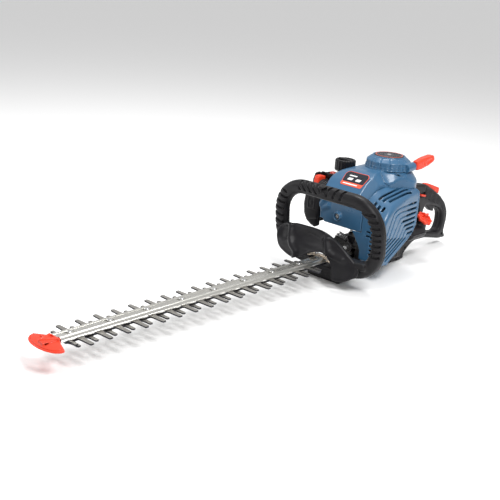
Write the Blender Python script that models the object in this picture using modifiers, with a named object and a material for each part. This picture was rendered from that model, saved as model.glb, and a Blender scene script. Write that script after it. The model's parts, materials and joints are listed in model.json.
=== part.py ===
"""Petrol hedge trimmer with a double-sided, double-action blade, built from its separate pieces.

Frame: metres, +Z up, -Y towards the blade's tip, +X the machine's left. The origin is on the flat
underside of the engine's base, straight below the upright crankshaft. The numbers below are
millimetres, and the helper functions turn them into metres.
"""
import math

import bmesh
import bpy
from mathutils import Matrix, Vector

MM = 0.001
FIT = 0.3                    # gap left between neighbours that touch

# Blades
PITCH = 35.0                 # from tooth to tooth on one side
TOOTH_COUNT = 17
FIRST_TOOTH_Y = -807.0
LONG_TOOTH = 43.5            # half the width over the long teeth
SHORT_TOOTH = 33.0
SPINE_HALF = 12.0
BLADE_THICK = 2.4
LOWER_BLADE_Z = 35.6
UPPER_BLADE_Z = 38.4
BLADE_STROKE = 8.75          # each way from rest, a quarter of the tooth pitch
BLADE_FRONT_Y = -797.0
BLADE_REAR_Y = -62.0
BOLT_COUNT = 8
BOLT_PITCH = 75.0
FIRST_BOLT_Y = -778.0
BOLT_X = -4.0
BOLT_RADIUS = 3.0
BAR_Z = 41.1
BAR_FRONT_Y = -806.0
BAR_REAR_Y = -96.0

# Drive
GEAR_Y = -36.0               # the drive gear's shaft lies this far in front of the crankshaft
GEAR_TEETH = 48
PINION_TEETH = 12
MODULE = 1.2
GEAR_Z = 51.0
GEAR_THICK = 6.0
CAM_RADIUS = 14.0
CONROD_THICK = 4.0

# Engine
CYLINDER_Z = 120.0
BORE = 16.0
CRANK_THROW = 11.0
FAN_RADIUS = 50.0
FAN_HOUSING_RADIUS = 61.0
CAP_RADIUS = 46.0
REEL_RADIUS = 25.0

# Fuel and air
FUEL_NECK = (-88.0, -25.0, 172.0)
PRIMER_FOOT = (-79.0, -76.0, 148.0)
CHOKE_PIVOT = (-93.0, -106.0, 156.0)

# Handles
LOOP_RADIUS = 14.0
LOOP_HALF_WIDTH = 117.0
LOOP_TOP_Z = 172.0
LOOP_BOTTOM_Z = 33.0
LOOP_CORNER = 58.0
LOOP_Y = -177.0
LOOP_LEAN = math.radians(6)
GRIP_HALF = 12.0

FINISHES = {
    "blue_plastic": ((0.045, 0.150, 0.280), 0.32, 0.0),
    "black_plastic": ((0.016, 0.014, 0.018), 0.55, 0.0),
    "orange_plastic": ((0.850, 0.080, 0.025), 0.38, 0.0),
    "tank_plastic": ((0.800, 0.790, 0.720), 0.40, 0.0),
    "blade_steel": ((0.560, 0.555, 0.530), 0.35, 1.0),
    "bar_aluminium": ((0.600, 0.590, 0.560), 0.35, 1.0),
    "plated_steel": ((0.620, 0.500, 0.380), 0.35, 1.0),
    "dark_steel": ((0.130, 0.130, 0.135), 0.45, 1.0),
    "cast_metal": ((0.420, 0.420, 0.420), 0.55, 1.0),
    "rubber": ((0.020, 0.019, 0.019), 0.80, 0.0),
    "bulb_rubber": ((0.380, 0.040, 0.030), 0.45, 0.0),
    "rope_fibre": ((0.700, 0.680, 0.620), 0.85, 0.0),
    "foam": ((0.090, 0.090, 0.085), 0.95, 0.0),
    "ceramic": ((0.860, 0.850, 0.820), 0.25, 0.0),
}


# ---------------------------------------------------------------- helpers

def clear_scene():
    for obj in list(bpy.data.objects):
        bpy.data.objects.remove(obj, do_unlink=True)


def collection(name):
    made = bpy.data.collections.new(name)
    bpy.context.scene.collection.children.link(made)
    return made


def finish_material(name):
    found = bpy.data.materials.get(name)
    if found:
        return found
    colour, roughness, metallic = FINISHES[name]
    made = bpy.data.materials.new(name)
    made.use_nodes = True
    shader = made.node_tree.nodes["Principled BSDF"]
    shader.inputs["Base Color"].default_value = (*colour, 1.0)
    shader.inputs["Roughness"].default_value = roughness
    shader.inputs["Metallic"].default_value = metallic
    return made


def add_mesh(name, mesh, finish):
    obj = bpy.data.objects.new(name, mesh)
    PARTS.objects.link(obj)
    obj.data.materials.append(finish_material(finish))
    return obj


def bevelled(obj, width, segments=2, angle=40):
    edge = obj.modifiers.new("rounded edges", "BEVEL")
    edge.width = width * MM
    edge.segments = segments
    edge.limit_method = "ANGLE"
    edge.angle_limit = math.radians(angle)
    return obj


def box(name, low, high, finish):
    low, high = Vector(low) * MM, Vector(high) * MM
    mesh = bpy.data.meshes.new(name)
    shape = bmesh.new()
    place = Matrix.Translation((low + high) / 2) @ Matrix.Diagonal((*(high - low), 1.0))
    bmesh.ops.create_cube(shape, size=1.0, matrix=place)
    shape.to_mesh(mesh)
    shape.free()
    return add_mesh(name, mesh, finish)


def cylinder(name, start, end, radius, finish, sides=20, end_radius=None):
    start, end = Vector(start) * MM, Vector(end) * MM
    span = end - start
    turn = Vector((0, 0, 1)).rotation_difference(span).to_matrix().to_4x4()
    mesh = bpy.data.meshes.new(name)
    shape = bmesh.new()
    bmesh.ops.create_cone(
        shape, cap_ends=True, segments=sides, radius1=radius * MM,
        radius2=(radius if end_radius is None else end_radius) * MM, depth=span.length,
        matrix=Matrix.Translation((start + end) / 2) @ turn)
    shape.to_mesh(mesh)
    shape.free()
    obj = add_mesh(name, mesh, finish)
    mesh.shade_smooth()
    mesh.set_sharp_from_angle(angle=math.radians(35))
    return obj


def turned(name, profile, base, finish, steps=20, axis=(0, 0, 1), closed=False):
    """Turns a profile of (radius, height) points, listed down its outer side, about an axis."""
    mesh = bpy.data.meshes.new(name)
    points = [(radius * MM, 0.0, height * MM) for radius, height in profile]
    edges = [(i, i + 1) for i in range(len(points) - 1)]
    if closed:
        edges.append((len(points) - 1, 0))
    mesh.from_pydata(points, edges, [])
    obj = add_mesh(name, mesh, finish)
    obj.location = Vector(base) * MM
    obj.rotation_mode = "QUATERNION"
    obj.rotation_quaternion = Vector((0, 0, 1)).rotation_difference(Vector(axis))
    screw = obj.modifiers.new("turn", "SCREW")
    screw.steps = steps
    screw.render_steps = steps
    screw.use_merge_vertices = True
    screw.merge_threshold = 0.00005
    screw.use_smooth_shade = True
    return obj


def as_mesh(curve_object, finish):
    """Makes a curve a closed mesh, so that it can be bevelled, cut or joined."""
    graph = bpy.context.evaluated_depsgraph_get()
    graph.update()
    mesh = bpy.data.meshes.new_from_object(curve_object.evaluated_get(graph))
    shape = bmesh.new()
    shape.from_mesh(mesh)
    bmesh.ops.remove_doubles(shape, verts=shape.verts, dist=0.00002)
    bmesh.ops.recalc_face_normals(shape, faces=shape.faces)
    shape.to_mesh(mesh)
    shape.free()
    name = curve_object.name
    place = curve_object.matrix_world.copy()
    data = curve_object.data
    bpy.data.objects.remove(curve_object)
    bpy.data.curves.remove(data)
    mesh.transform(place)
    mesh.materials.clear()
    mesh.name = name
    return add_mesh(name, mesh, finish)


def prism(name, outline, axis, start, end, finish):
    """A flat outline pushed along X, Y or Z. The outline lists (Y, Z), (X, Z) or (X, Y) points."""
    turns = {
        "X": Matrix(((0, 0, 1), (1, 0, 0), (0, 1, 0))),
        "Y": Matrix(((0, 1, 0), (0, 0, 1), (1, 0, 0))),
        "Z": Matrix.Identity(3),
    }
    along = {"X": Vector((1, 0, 0)), "Y": Vector((0, 1, 0)), "Z": Vector((0, 0, 1))}[axis]
    curve = bpy.data.curves.new(name, "CURVE")
    curve.dimensions = "2D"
    curve.fill_mode = "BOTH"
    curve.extrude = abs(end - start) / 2 * MM
    spline = curve.splines.new("POLY")
    spline.points.add(len(outline) - 1)
    for point, (first, second) in zip(spline.points, outline):
        flat = (second, first) if axis == "Y" else (first, second)
        point.co = (flat[0] * MM, flat[1] * MM, 0.0, 1.0)
    spline.use_cyclic_u = True
    obj = bpy.data.objects.new(name, curve)
    bpy.context.scene.collection.objects.link(obj)
    obj.matrix_world = Matrix.Translation(along * (start + end) / 2 * MM) @ turns[axis].to_4x4()
    bpy.context.view_layer.update()
    return as_mesh(obj, finish)


def rod(name, points, radius, finish, resolution=2, closed=False):
    curve = bpy.data.curves.new(name, "CURVE")
    curve.dimensions = "3D"
    curve.bevel_depth = radius * MM
    curve.bevel_resolution = resolution
    curve.use_fill_caps = True
    spline = curve.splines.new("POLY")
    spline.points.add(len(points) - 1)
    for point, place in zip(spline.points, points):
        point.co = (*(Vector(place) * MM), 1.0)
    spline.use_cyclic_u = closed
    obj = bpy.data.objects.new(name, curve)
    bpy.context.scene.collection.objects.link(obj)
    bpy.context.view_layer.update()
    made = as_mesh(obj, finish)
    made.data.shade_smooth()
    return made


def sheet(name, rows, thickness, finish):
    """An open surface through rows of points, thickened to a shell."""
    width = len(rows[0])
    points = [Vector(point) * MM for row in rows for point in row]
    faces = []
    for r in range(len(rows) - 1):
        for c in range(width - 1):
            corner = r * width + c
            faces.append((corner, corner + 1, corner + width + 1, corner + width))
    mesh = bpy.data.meshes.new(name)
    mesh.from_pydata(points, [], faces)
    obj = add_mesh(name, mesh, finish)
    mesh.shade_smooth()
    wall = obj.modifiers.new("wall", "SOLIDIFY")
    wall.thickness = thickness * MM
    wall.offset = 0.0
    wall.use_even_offset = True
    return obj


def combine(target, tool, operation, solver="EXACT"):
    PARTS.objects.unlink(tool)
    CUTTERS.objects.link(tool)
    tool.hide_render = True
    tool.display_type = "WIRE"
    tool.name = f"{target.name}_{operation.lower()}_{len(target.modifiers)}"
    boolean = target.modifiers.new(operation.lower(), "BOOLEAN")
    boolean.operation = operation
    boolean.object = tool
    boolean.solver = solver
    return target


def cut(target, *tools, solver="EXACT"):
    for tool in tools:
        combine(target, tool, "DIFFERENCE", solver)
    return target


def join(target, *tools, solver="EXACT"):
    for tool in tools:
        combine(target, tool, "UNION", solver)
    return target


def pivot(obj, point):
    """Moves an object's origin to its joint, and leaves its shape where it is."""
    point = Vector(point) * MM
    turn = obj.matrix_basis.to_3x3().to_4x4()
    shift = Matrix.Translation(obj.location - point)
    obj.data.transform(turn.inverted() @ shift @ turn)
    obj.location = point
    return obj


def arc(centre, radius, start, end, count):
    """Points on an arc, from one angle to another, both in degrees."""
    angles = [math.radians(start + (end - start) * i / count) for i in range(count + 1)]
    return [(centre[0] + radius * math.cos(a), centre[1] + radius * math.sin(a)) for a in angles]


def slot_outline(x, y, half_length, radius):
    front = arc((x, y - half_length), radius, 180, 360, 3)
    back = arc((x, y + half_length), radius, 0, 180, 3)
    return front + back


def bolt_places():
    return [FIRST_BOLT_Y + BOLT_PITCH * i for i in range(BOLT_COUNT)]


# ---------------------------------------------------------------- cutting gear

def toothed_outline(first_y, reach, base_half, tip_half, short_first):
    """A blade's outline in (X, Y): the spine with blunt, tapering teeth on both sides."""
    left, right = [], []
    for i in range(TOOTH_COUNT):
        y = first_y + PITCH * i
        length, base = reach, base_half
        if i == 0 and short_first:
            length, base = SHORT_TOOTH - 2, base_half / 2
        y = max(y, BLADE_FRONT_Y + base + 0.5)
        tooth = [(SPINE_HALF, y - base), (length, y - tip_half),
                 (length, y + tip_half), (SPINE_HALF, y + base)]
        right += tooth
        left += [(-x, y_at) for x, y_at in tooth]
    front = [(-SPINE_HALF, BLADE_FRONT_Y), (SPINE_HALF, BLADE_FRONT_Y)]
    shoulder_y = -190.0
    tang_half = 8.0
    rear = [(SPINE_HALF, shoulder_y), (tang_half, shoulder_y + 12), (tang_half, BLADE_REAR_Y),
            (-tang_half, BLADE_REAR_Y), (-tang_half, shoulder_y + 12), (-SPINE_HALF, shoulder_y)]
    return front + right + rear + left[::-1]


def blade(name, z, first_y, reach, base_half, tip_half, short_first):
    outline = toothed_outline(first_y, reach, base_half, tip_half, short_first)
    made = prism(name, outline, "Z", z, z + BLADE_THICK, "blade_steel")
    slot_half = BLADE_STROKE + FIT
    for y in bolt_places():
        slot = prism("slot", slot_outline(BOLT_X, y, slot_half, BOLT_RADIUS + FIT), "Z",
                     z - 1, z + BLADE_THICK + 1, "blade_steel")
        cut(made, slot)
    return pivot(made, (0, BLADE_REAR_Y, z))


def guide_bar():
    """The channel that carries the blades: a flat bolt track beside a rolled stiffening ridge."""
    ridge = [(4, BAR_Z + 5.6), (6.5, BAR_Z + 7.4), (10.5, BAR_Z + 7.4), (13.5, BAR_Z + 5.4)]
    section = [(-15, BAR_Z), (-15, BAR_Z + 3.8), (-12.6, BAR_Z + 3.8), (-12, BAR_Z + 2.6),
               (2, BAR_Z + 2.6), *ridge, (14.5, BAR_Z + 2.5), (14.5, BAR_Z)]
    bar = prism("guide_bar", section, "Y", BAR_FRONT_Y, BAR_REAR_Y, "bar_aluminium")
    nose = box("nose", (-9, BAR_FRONT_Y - 20, BAR_Z + 0.2), (9, BAR_FRONT_Y + 4, BAR_Z + 2.4),
               "bar_aluminium")
    join(bar, nose)
    for y in bolt_places():
        hole = cylinder("hole", (BOLT_X, y, BAR_Z - 2), (BOLT_X, y, BAR_Z + 6),
                        BOLT_RADIUS + FIT, "bar_aluminium", 8)
        cut(bar, hole)


def blade_bolts():
    """Shoulder bolts that hold the blades up against the bar and leave them free to slide."""
    head_z = BAR_Z + 2.6 + FIT
    nut_z = LOWER_BLADE_Z - FIT
    profile = [(0, head_z + 3.2), (3.6, head_z + 3.2), (4.6, head_z + 2.2), (4.6, head_z),
               (BOLT_RADIUS, head_z), (BOLT_RADIUS, nut_z), (5.2, nut_z), (5.2, nut_z - 3.5),
               (0, nut_z - 3.5)]
    for i, y in enumerate(bolt_places()):
        turned(f"blade_bolt_{i + 1}", profile, (BOLT_X, y, 0), "plated_steel", 8)


def tip_guard():
    """A fan-shaped nose with two wings, pushed over the bar's front end."""
    low_z, top_z, boss_z = 37.4, 44.6, 49.5
    front = [(38.5 * math.sin(a), -822 - 19.5 * math.cos(a) + 1.5)
             for a in (math.radians(-84 + 168 * i / 14) for i in range(15))]
    outline = [(-37, -817), (-22, -812.5), (-12, -807.4), (12, -807.4), (22, -812.5), (37, -817)]
    fan = prism("tip_guard", outline + front[::-1], "Z", low_z, top_z, "orange_plastic")
    bevelled(fan, 2.0)
    boss = prism("boss", [(-10, -807.8), (12, -807.8), (6, -834), (-7, -834)], "Z",
                 top_z - 4, boss_z, "orange_plastic")
    bevelled(boss, 1.5)
    pocket = box("pocket", (-9 - FIT, BAR_FRONT_Y - 20 - FIT, BAR_Z + 0.2 - FIT),
                 (9 + FIT, BAR_FRONT_Y + 10, BAR_Z + 2.4 + FIT), "orange_plastic")
    cut(join(fan, boss), pocket)


def bar_bracket():
    """A plated saddle that clamps the bar where it enters the guard."""
    low_z = BAR_Z + 8.0
    under = [(-30, low_z - 2), (-20, low_z - 2), (-17, low_z + 0.3), (17, low_z + 0.3),
             (20, low_z - 4), (33, low_z - 6)]
    over = [(33, low_z - 3.5), (21.5, low_z - 1.5), (18, low_z + 2.8), (-18, low_z + 2.8),
            (-21, low_z + 0.5), (-30, low_z + 0.5)]
    saddle = prism("bar_bracket", under + over, "Y", -200, -186, "plated_steel")
    return bevelled(saddle, 0.5, 1)


# ---------------------------------------------------------------- gearbox and clutch

def gear_outline(teeth, phase):
    """A spur gear's outline: straight-sided teeth, thinner than their gaps so that they run free."""
    pitch_radius = MODULE * teeth / 2
    step = 2 * math.pi / teeth
    root, tip = pitch_radius - 1.5, pitch_radius + 0.9
    at_root, at_tip = 0.27 * step, 0.13 * step
    points = []
    for i in range(teeth):
        mid = phase + step * i
        for angle, radius in ((mid - at_root, root), (mid - at_tip, tip),
                              (mid + at_tip, tip), (mid + at_root, root)):
            points.append((radius * math.cos(angle), radius * math.sin(angle)))
    return points


def drive_gear():
    """The reduction gear with its shaft and the two opposed cams that drive the blades."""
    tooth_to_pinion = math.pi / 2 + math.pi / GEAR_TEETH
    outline = [(x, y + GEAR_Y) for x, y in gear_outline(GEAR_TEETH, tooth_to_pinion)]
    gear = prism("drive_gear", outline, "Z", GEAR_Z, GEAR_Z + GEAR_THICK, "dark_steel")
    shaft = cylinder("shaft", (0, GEAR_Y, 16.5), (0, GEAR_Y, 64), 5, "dark_steel")
    low_cam = cylinder("low_cam", (BLADE_STROKE, GEAR_Y, 25.5), (BLADE_STROKE, GEAR_Y, 29.5),
                       CAM_RADIUS, "dark_steel")
    high_cam = cylinder("high_cam", (-BLADE_STROKE, GEAR_Y, 46.4), (-BLADE_STROKE, GEAR_Y, 52),
                        CAM_RADIUS, "dark_steel")
    join(gear, shaft, low_cam, high_cam)
    return pivot(gear, (0, GEAR_Y, GEAR_Z))


def conrod(name, z, pin_low, pin_high):
    """A flat rod: its eye lies round the cam's shaft, and its pin fits the blade's tang."""
    eye = cylinder(name, (0, GEAR_Y, z), (0, GEAR_Y, z + CONROD_THICK), 19, "cast_metal")
    arm = box("arm", (-5, -76, z + 0.2), (5, GEAR_Y - 16, z + CONROD_THICK - 0.2), "cast_metal")
    foot = cylinder("foot", (0, -76, pin_low), (0, -76, pin_high), 5.5, "cast_metal", 16)
    hole = cylinder("hole", (0, GEAR_Y, z - 1), (0, GEAR_Y, z + CONROD_THICK + 1), 14.6,
                    "cast_metal")
    return cut(join(eye, arm, foot), hole)


def gearbox():
    """An open-topped cast case, its lid with the clutch's wall, and the shafts' bearings."""
    case = box("gearbox_housing", (-33.8, -110, 12.4), (33.8, 38, 59.8), "cast_metal")
    bevelled(case, 3)
    well = box("well", (-31, -100, 21), (31, 22, 64), "cast_metal")
    mouth = box("mouth", (-19, -116, 31), (19, -90, 53), "cast_metal")
    seat = cylinder("seat", (0, GEAR_Y, 16), (0, GEAR_Y, 24), 5 + FIT, "cast_metal")
    cut(case, well, mouth, seat)

    lid = box("gearbox_cover", (-33.8, -110, 60.1), (33.8, 38, 65.6), "cast_metal")
    wall = cylinder("wall", (0, 0, 64), (0, 0, 91.7), 34, "cast_metal", 32)
    drum_room = cylinder("drum_room", (0, 0, 66.6), (0, 0, 96), 29.5, "cast_metal", 32)
    drum_seat = cylinder("drum_seat", (0, 0, 58), (0, 0, 68), 10 + FIT, "cast_metal")
    gear_seat = cylinder("gear_seat", (0, GEAR_Y, 58), (0, GEAR_Y, 68), 9 + FIT, "cast_metal")
    cut(join(lid, wall), drum_room, drum_seat, gear_seat)

    bearing("gear_bearing_upper", (0, GEAR_Y, 60.4), 9, 5 + FIT, 4.8)
    bearing("drum_bearing", (0, 0, 60.4), 10, 4.5 + FIT, 5.0)


def bearing(name, base, outer, inner, height):
    turned(name, [(outer, height), (outer, 0), (inner, 0), (inner, height)], base, "dark_steel",
           24, closed=True)


def clutch():
    outline = gear_outline(PINION_TEETH, math.pi / 2)
    drum = prism("clutch_drum", outline, "Z", GEAR_Z, GEAR_Z + GEAR_THICK + 2, "dark_steel")
    stem = cylinder("stem", (0, 0, 46), (0, 0, 70), 4.5, "dark_steel")
    cup = turned("cup", [(27, 84), (27, 68.5), (0, 68.5), (0, 71.5), (25, 71.5), (25, 84)],
                 (0, 0, 0), "dark_steel", 24, closed=True)
    join(drum, stem, cup)
    pivot(drum, (0, 0, GEAR_Z))
    shoes = cylinder("clutch_shoes", (0, 0, 74), (0, 0, 82.5), 23, "dark_steel", 32)
    gap = box("gap", (-1.5, -30, 72), (1.5, -6, 84), "dark_steel")
    far_gap = box("far_gap", (-1.5, 6, 72), (1.5, 30, 84), "dark_steel")
    bore = cylinder("bore", (0, 0, 72), (0, 0, 84), 5.2 + FIT, "dark_steel")
    pivot(cut(shoes, gap, far_gap, bore), (0, 0, 78))


# ---------------------------------------------------------------- engine

def crankshaft():
    pin = cylinder("pin", (0, CRANK_THROW, 111), (0, CRANK_THROW, 129), 4.5, "dark_steel", 16)
    profile = [(0, 178), (4, 178), (4, 158), (7, 157), (7, 134), (22, 134), (22, 128), (0, 128)]
    upper = turned("crankshaft", profile, (0, 0, 0), "dark_steel", 24)
    profile = [(0, 112), (22, 112), (22, 106), (7, 106), (7, 92), (5.2, 92), (5.2, 73.5), (0, 73.5)]
    lower = turned("lower", profile, (0, 0, 0), "dark_steel", 24)
    join(upper, pin, lower)


def flywheel_fan():
    ring = [(FAN_RADIUS, 162), (FAN_RADIUS, 158.5), (4.4, 158.5), (4.4, 164), (14, 164), (14, 162)]
    disc = turned("flywheel_fan", ring, (0, 0, 0), "cast_metal", 32, closed=True)
    vane_count = 14
    for i in range(vane_count):
        angle = 2 * math.pi * i / vane_count
        vane = box("vane", (24, -0.9, 160), (FAN_RADIUS - 1, 0.9, 174), "cast_metal")
        vane.data.transform(Matrix.Rotation(angle, 4, "Z"))
        join(disc, vane)


def crankcase():
    case = cylinder("crankcase", (0, 0, 92), (0, 0, 150), 36, "cast_metal", 32)
    flange = box("flange", (-30, -40.7, 96), (30, 0, 144), "cast_metal")
    chamber = cylinder("chamber", (0, 0, 103), (0, 0, 137), 25, "cast_metal", 32)
    shaft_hole = cylinder("shaft_hole", (0, 0, 88), (0, 0, 110), 7 + FIT, "cast_metal")
    bearing_seat = cylinder("bearing_seat", (0, 0, 130), (0, 0, 155), 12 + FIT, "cast_metal")
    spigot = cylinder("spigot", (0, -50, CYLINDER_Z), (0, -10, CYLINDER_Z), 19.5, "cast_metal")
    cut(join(case, flange), chamber, shaft_hole, bearing_seat, spigot)
    bearing("main_bearing", (0, 0, 139), 12, 7 + FIT, 8)


def cylinder_barrel():
    """The finned barrel and head, lying forwards, open at its crankcase end."""
    fins = []
    for i in range(5):
        at = 50 - i * 10
        fins += [(21, at), (30, at), (30, at - 2.4), (21, at - 2.4)]
    profile = [(0, 58), (21, 58), *fins, (21, -2), (19, -2), (19, -10), (BORE + FIT, -10),
               (BORE + FIT, 50), (0, 50)]
    return turned("cylinder", profile, (0, -43, CYLINDER_Z), "cast_metal", 20, axis=(0, -1, 0))


def piston_group():
    """Piston, gudgeon pin and rod at mid stroke. The rod stops short of the crank pin's circle."""
    profile = [(0, 9), (BORE - FIT, 9), (BORE - FIT, -9), (13, -9), (13, 5), (0, 5)]
    piston = turned("piston", profile, (0, -67, CYLINDER_Z), "cast_metal", 24, axis=(0, -1, 0))
    hole = cylinder("hole", (0, -64, CYLINDER_Z - 20), (0, -64, CYLINDER_Z + 20), 3 + FIT,
                    "cast_metal", 12)
    cut(piston, hole)
    cylinder("wrist_pin", (0, -64, CYLINDER_Z - 15), (0, -64, CYLINDER_Z + 15), 3, "dark_steel", 12)
    rod_end = cylinder("connecting_rod", (0, -64, CYLINDER_Z - 4), (0, -64, CYLINDER_Z + 4), 6.5,
                       "cast_metal", 16)
    shank = box("shank", (-3.5, -60, CYLINDER_Z - 3), (3.5, -36, CYLINDER_Z + 3), "cast_metal")
    jaw = box("jaw", (-9, -37, CYLINDER_Z - 4), (9, -28, CYLINDER_Z + 4), "cast_metal")
    notch = cylinder("notch", (0, -26, CYLINDER_Z - 6), (0, -26, CYLINDER_Z + 6), 6, "cast_metal")
    eye = cylinder("eye", (0, -64, CYLINDER_Z - 6), (0, -64, CYLINDER_Z + 6), 3 + FIT,
                   "cast_metal", 12)
    cut(join(rod_end, shank, jaw), notch, eye)


def cylinder_fittings():
    cover = box("rocker_cover", (-26, -113, 96), (24, -101.4, 144), "cast_metal")
    bevelled(cover, 3)
    profile = [(0, 34), (3, 34), (3, 26), (5.5, 25), (5.5, 12), (8, 11), (8, 5), (5, 4), (5, 0), (0, 0)]
    turned("spark_plug", profile, (0, -73, 150.6), "ceramic", 12)
    turned("plug_boot", [(0, 36), (8, 36), (8, 19), (6.2, 19), (6.2, 34.6), (0, 34.6)],
           (0, -73, 150.6), "rubber", 16)
    box("intake_insulator", (-44, -76, 104), (-30.6, -44, 134), "rubber")
    carburettor = box("carburettor", (-64, -82, 102), (-44.3, -40, 138), "cast_metal")
    bowl = cylinder("bowl", (-54, -61, 96), (-54, -61, 104), 9, "cast_metal", 16)
    join(carburettor, bowl)
    bevelled(box("muffler", (36, -86, 76), (58, -24, 130), "dark_steel"), 5)
    box("ignition_coil", (-28, 39.5, 128), (-8, 48, 150), "rubber")


# ---------------------------------------------------------------- covers

def engine_shroud():
    """The top cover: a round fan housing that runs forwards into a sloping front panel."""
    housing = turned("engine_shroud", [(0, 201), (46, 201), (55, 196), (FAN_HOUSING_RADIUS, 187),
                                       (FAN_HOUSING_RADIUS, 133), (0, 133)],
                     (0, 0, 0), "blue_plastic", 32)
    side = [(20, 138), (20, 196), (-74, 196), (-86, 191), (-113, 164), (-122, 150), (-122, 79),
            (-100, 79), (-96, 138)]
    front = prism("front", side, "X", -66, 34, "blue_plastic")
    bevelled(front, 7, 2, 50)
    inner_side = [(10, 129), (10, 192), (-72, 192), (-83, 187), (-110, 161), (-118.5, 149),
                  (-118.5, 74), (-94, 74), (-90, 129)]
    room = prism("room", inner_side, "X", -62.5, 30.5, "blue_plastic")
    drum = turned("drum", [(0, 197.5), (43, 197.5), (52, 193), (58, 185), (58, 128), (0, 128)],
                  (0, 0, 0), "blue_plastic", 32)
    bolt_hole = cylinder("bolt_hole", (-21, -130, 113), (-21, -116, 113), 5.5, "blue_plastic", 16)
    reel_room = cylinder("reel_room", (0, 0, 190), (0, 0, 206), 36, "blue_plastic", 32)
    boss_room = cylinder("boss_room", (47, -8, 207), (47, 70, 217), 10.5, "blue_plastic", 16)
    join(housing, front, solver="MANIFOLD")
    cut(housing, drum, room, bolt_hole, reel_room, boss_room, solver="MANIFOLD")


def muffler_cover():
    """The vented cover on the exhaust side, open towards the engine."""
    front = [(-121.5, 36), (-121.5, 148), (-112, 160), (-97, 170), (-80, 178)]
    rear = [(-41, 183), (-5, 181), (12, 172), (24, 160), (27, 150), (27, 90), (20, 76), (7, 70),
            (-88, 34)]
    cover = prism("muffler_cover", front + rear, "X", 34.4, 84, "blue_plastic")
    slope = prism("slope", [(90, -130), (84.5, -130), (84.5, -100), (64, 40), (90, 40)], "Z", 20, 200,
                  "blue_plastic")
    facet = prism("facet", [(30, 183.6), (90, 155.4), (90, 200), (30, 200)], "Y", -130, 50,
                  "blue_plastic")
    inner_front = [(-118, 39.5), (-118, 147), (-109.5, 157.5), (-95, 166.5), (-79, 174.5)]
    inner_rear = [(-41, 179.5), (-6, 177.5), (9.5, 169.5), (20.8, 158.5), (23.5, 149), (23.5, 91),
                  (17.5, 79), (5, 73.5), (-88, 37.8)]
    room = prism("room", inner_front + inner_rear, "X", 30, 80, "blue_plastic")
    inner_slope = prism("inner_slope", [(90, -130), (80.5, -130), (80.5, -100), (60.5, 40), (90, 40)],
                        "Z", 10, 210, "blue_plastic")
    inner_facet = prism("inner_facet", [(20, 184.3), (90, 151.4), (90, 210), (20, 210)], "Y", -130, 50,
                        "blue_plastic")
    cut(room, inner_facet)
    cut(room, inner_slope)
    cut(cover, slope, facet)
    bevelled(cover, 8, 3, 30)
    fan_room = cylinder("fan_room", (0, 0, 125), (0, 0, 210), FAN_HOUSING_RADIUS + 0.6,
                        "blue_plastic", 48)
    cut(cover, room, fan_room)
    for i in range(7):
        z = 132 - i * 9.5
        slit = box("slit", (50, -30 + i * 3.5, z - 2), (95, 20 - i * 1.2, z + 2), "blue_plastic")
        cut(cover, slit)
    skirt = box("skirt", (18, -121.8, 54), (37, -118.6, 78.5), "blue_plastic")
    join(cover, skirt)


def starter_cover():
    """The ribbed cap over the recoil starter, with the rope's guide boss."""
    cap = turned("starter_cover", [(0, 224), (30, 224), (39, 222), (CAP_RADIUS - 1, 214),
                                   (CAP_RADIUS, 201.4), (41, 201.4), (40, 213), (34, 218), (0, 218)],
                 (0, 0, 0), "blue_plastic", 28)
    rib_count = 14
    for i in range(rib_count):
        angle = 2 * math.pi * (i + 0.5) / rib_count
        rib = box("rib", (CAP_RADIUS - 4, -2.6, 202.2), (CAP_RADIUS + 1.6, 2.6, 213), "blue_plastic")
        rib.data.transform(Matrix.Rotation(angle, 4, "Z"))
        join(cap, rib)
    boss = cylinder("boss", (47, -4, 208), (47, 19, 211), 9.5, "blue_plastic", 16)
    throat = cylinder("throat", (47, -20, 205), (48, 40, 213), 4, "blue_plastic", 12)
    cut(join(cap, boss), throat)
    turned("starter_disc", [(0, 228), (28, 228), (30, 226.5), (30, 224.3), (0, 224.3)], (0, 0, 0),
           "black_plastic", 32)


def recoil_starter():
    profile = [(34, 199), (34, 197), (REEL_RADIUS, 197), (REEL_RADIUS, 191), (34, 191), (34, 189),
               (6, 189), (6, 199)]
    turned("starter_reel", profile, (0, 0, 0), "black_plastic", 20, closed=True)
    rope = [(REEL_RADIUS + 3.2, 196.6), (REEL_RADIUS + 3.2, 191.4), (REEL_RADIUS + FIT, 191.4),
            (REEL_RADIUS + FIT, 196.6)]
    turned("starter_rope", rope, (0, 0, 0), "rope_fibre", 20, closed=True)
    grip = prism("starter_grip", [(26.5, 205), (27.5, 220), (70, 229), (80, 227), (84, 219), (79, 214)],
                 "X", 41, 57, "orange_plastic")
    bevelled(grip, 3.5)
    stem = cylinder("stem", (48, 23, 211.4), (48, 34, 213), 3.4, "orange_plastic", 12)
    join(grip, stem)


# ---------------------------------------------------------------- fuel, air and oil side

def air_side():
    case = box("air_filter_case", (-90, -108, 92), (-66.4, -54, 148), "black_plastic")
    well = box("well", (-96, -102, 98), (-70, -60, 142), "black_plastic")
    cut(bevelled(case, 3), well)
    foot = Vector(PRIMER_FOOT)
    primer_seat = cylinder("primer_seat", foot - Vector((0, 0, 4)), foot + Vector((0, 0, 30)), 11,
                           "black_plastic")
    primer_well = cylinder("primer_well", foot + Vector((0, 0, 22)), foot + Vector((0, 0, 40)), 8,
                           "black_plastic")
    x, y, z = CHOKE_PIVOT
    lug = box("lug", (x + 6.6, y - 5, 144), (x + 11, y + 5, z + 4), "black_plastic")
    cut(join(case, primer_seat, lug), primer_well)
    box("air_filter_element", (-89.6, -101, 99), (-76, -61, 141), "foam")
    cover = box("air_filter_cover", (-113, -122, 72), (-90.3, -52, 148), "black_plastic")
    inside = box("inside", (-109, -118, 76), (-84, -56, 144), "black_plastic")
    cut(bevelled(cover, 6, 3), inside)
    front = box("front_wall", (-104, -121.7, 73), (-68, -113, 146), "black_plastic")
    join(cover, bevelled(front, 3))


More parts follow.
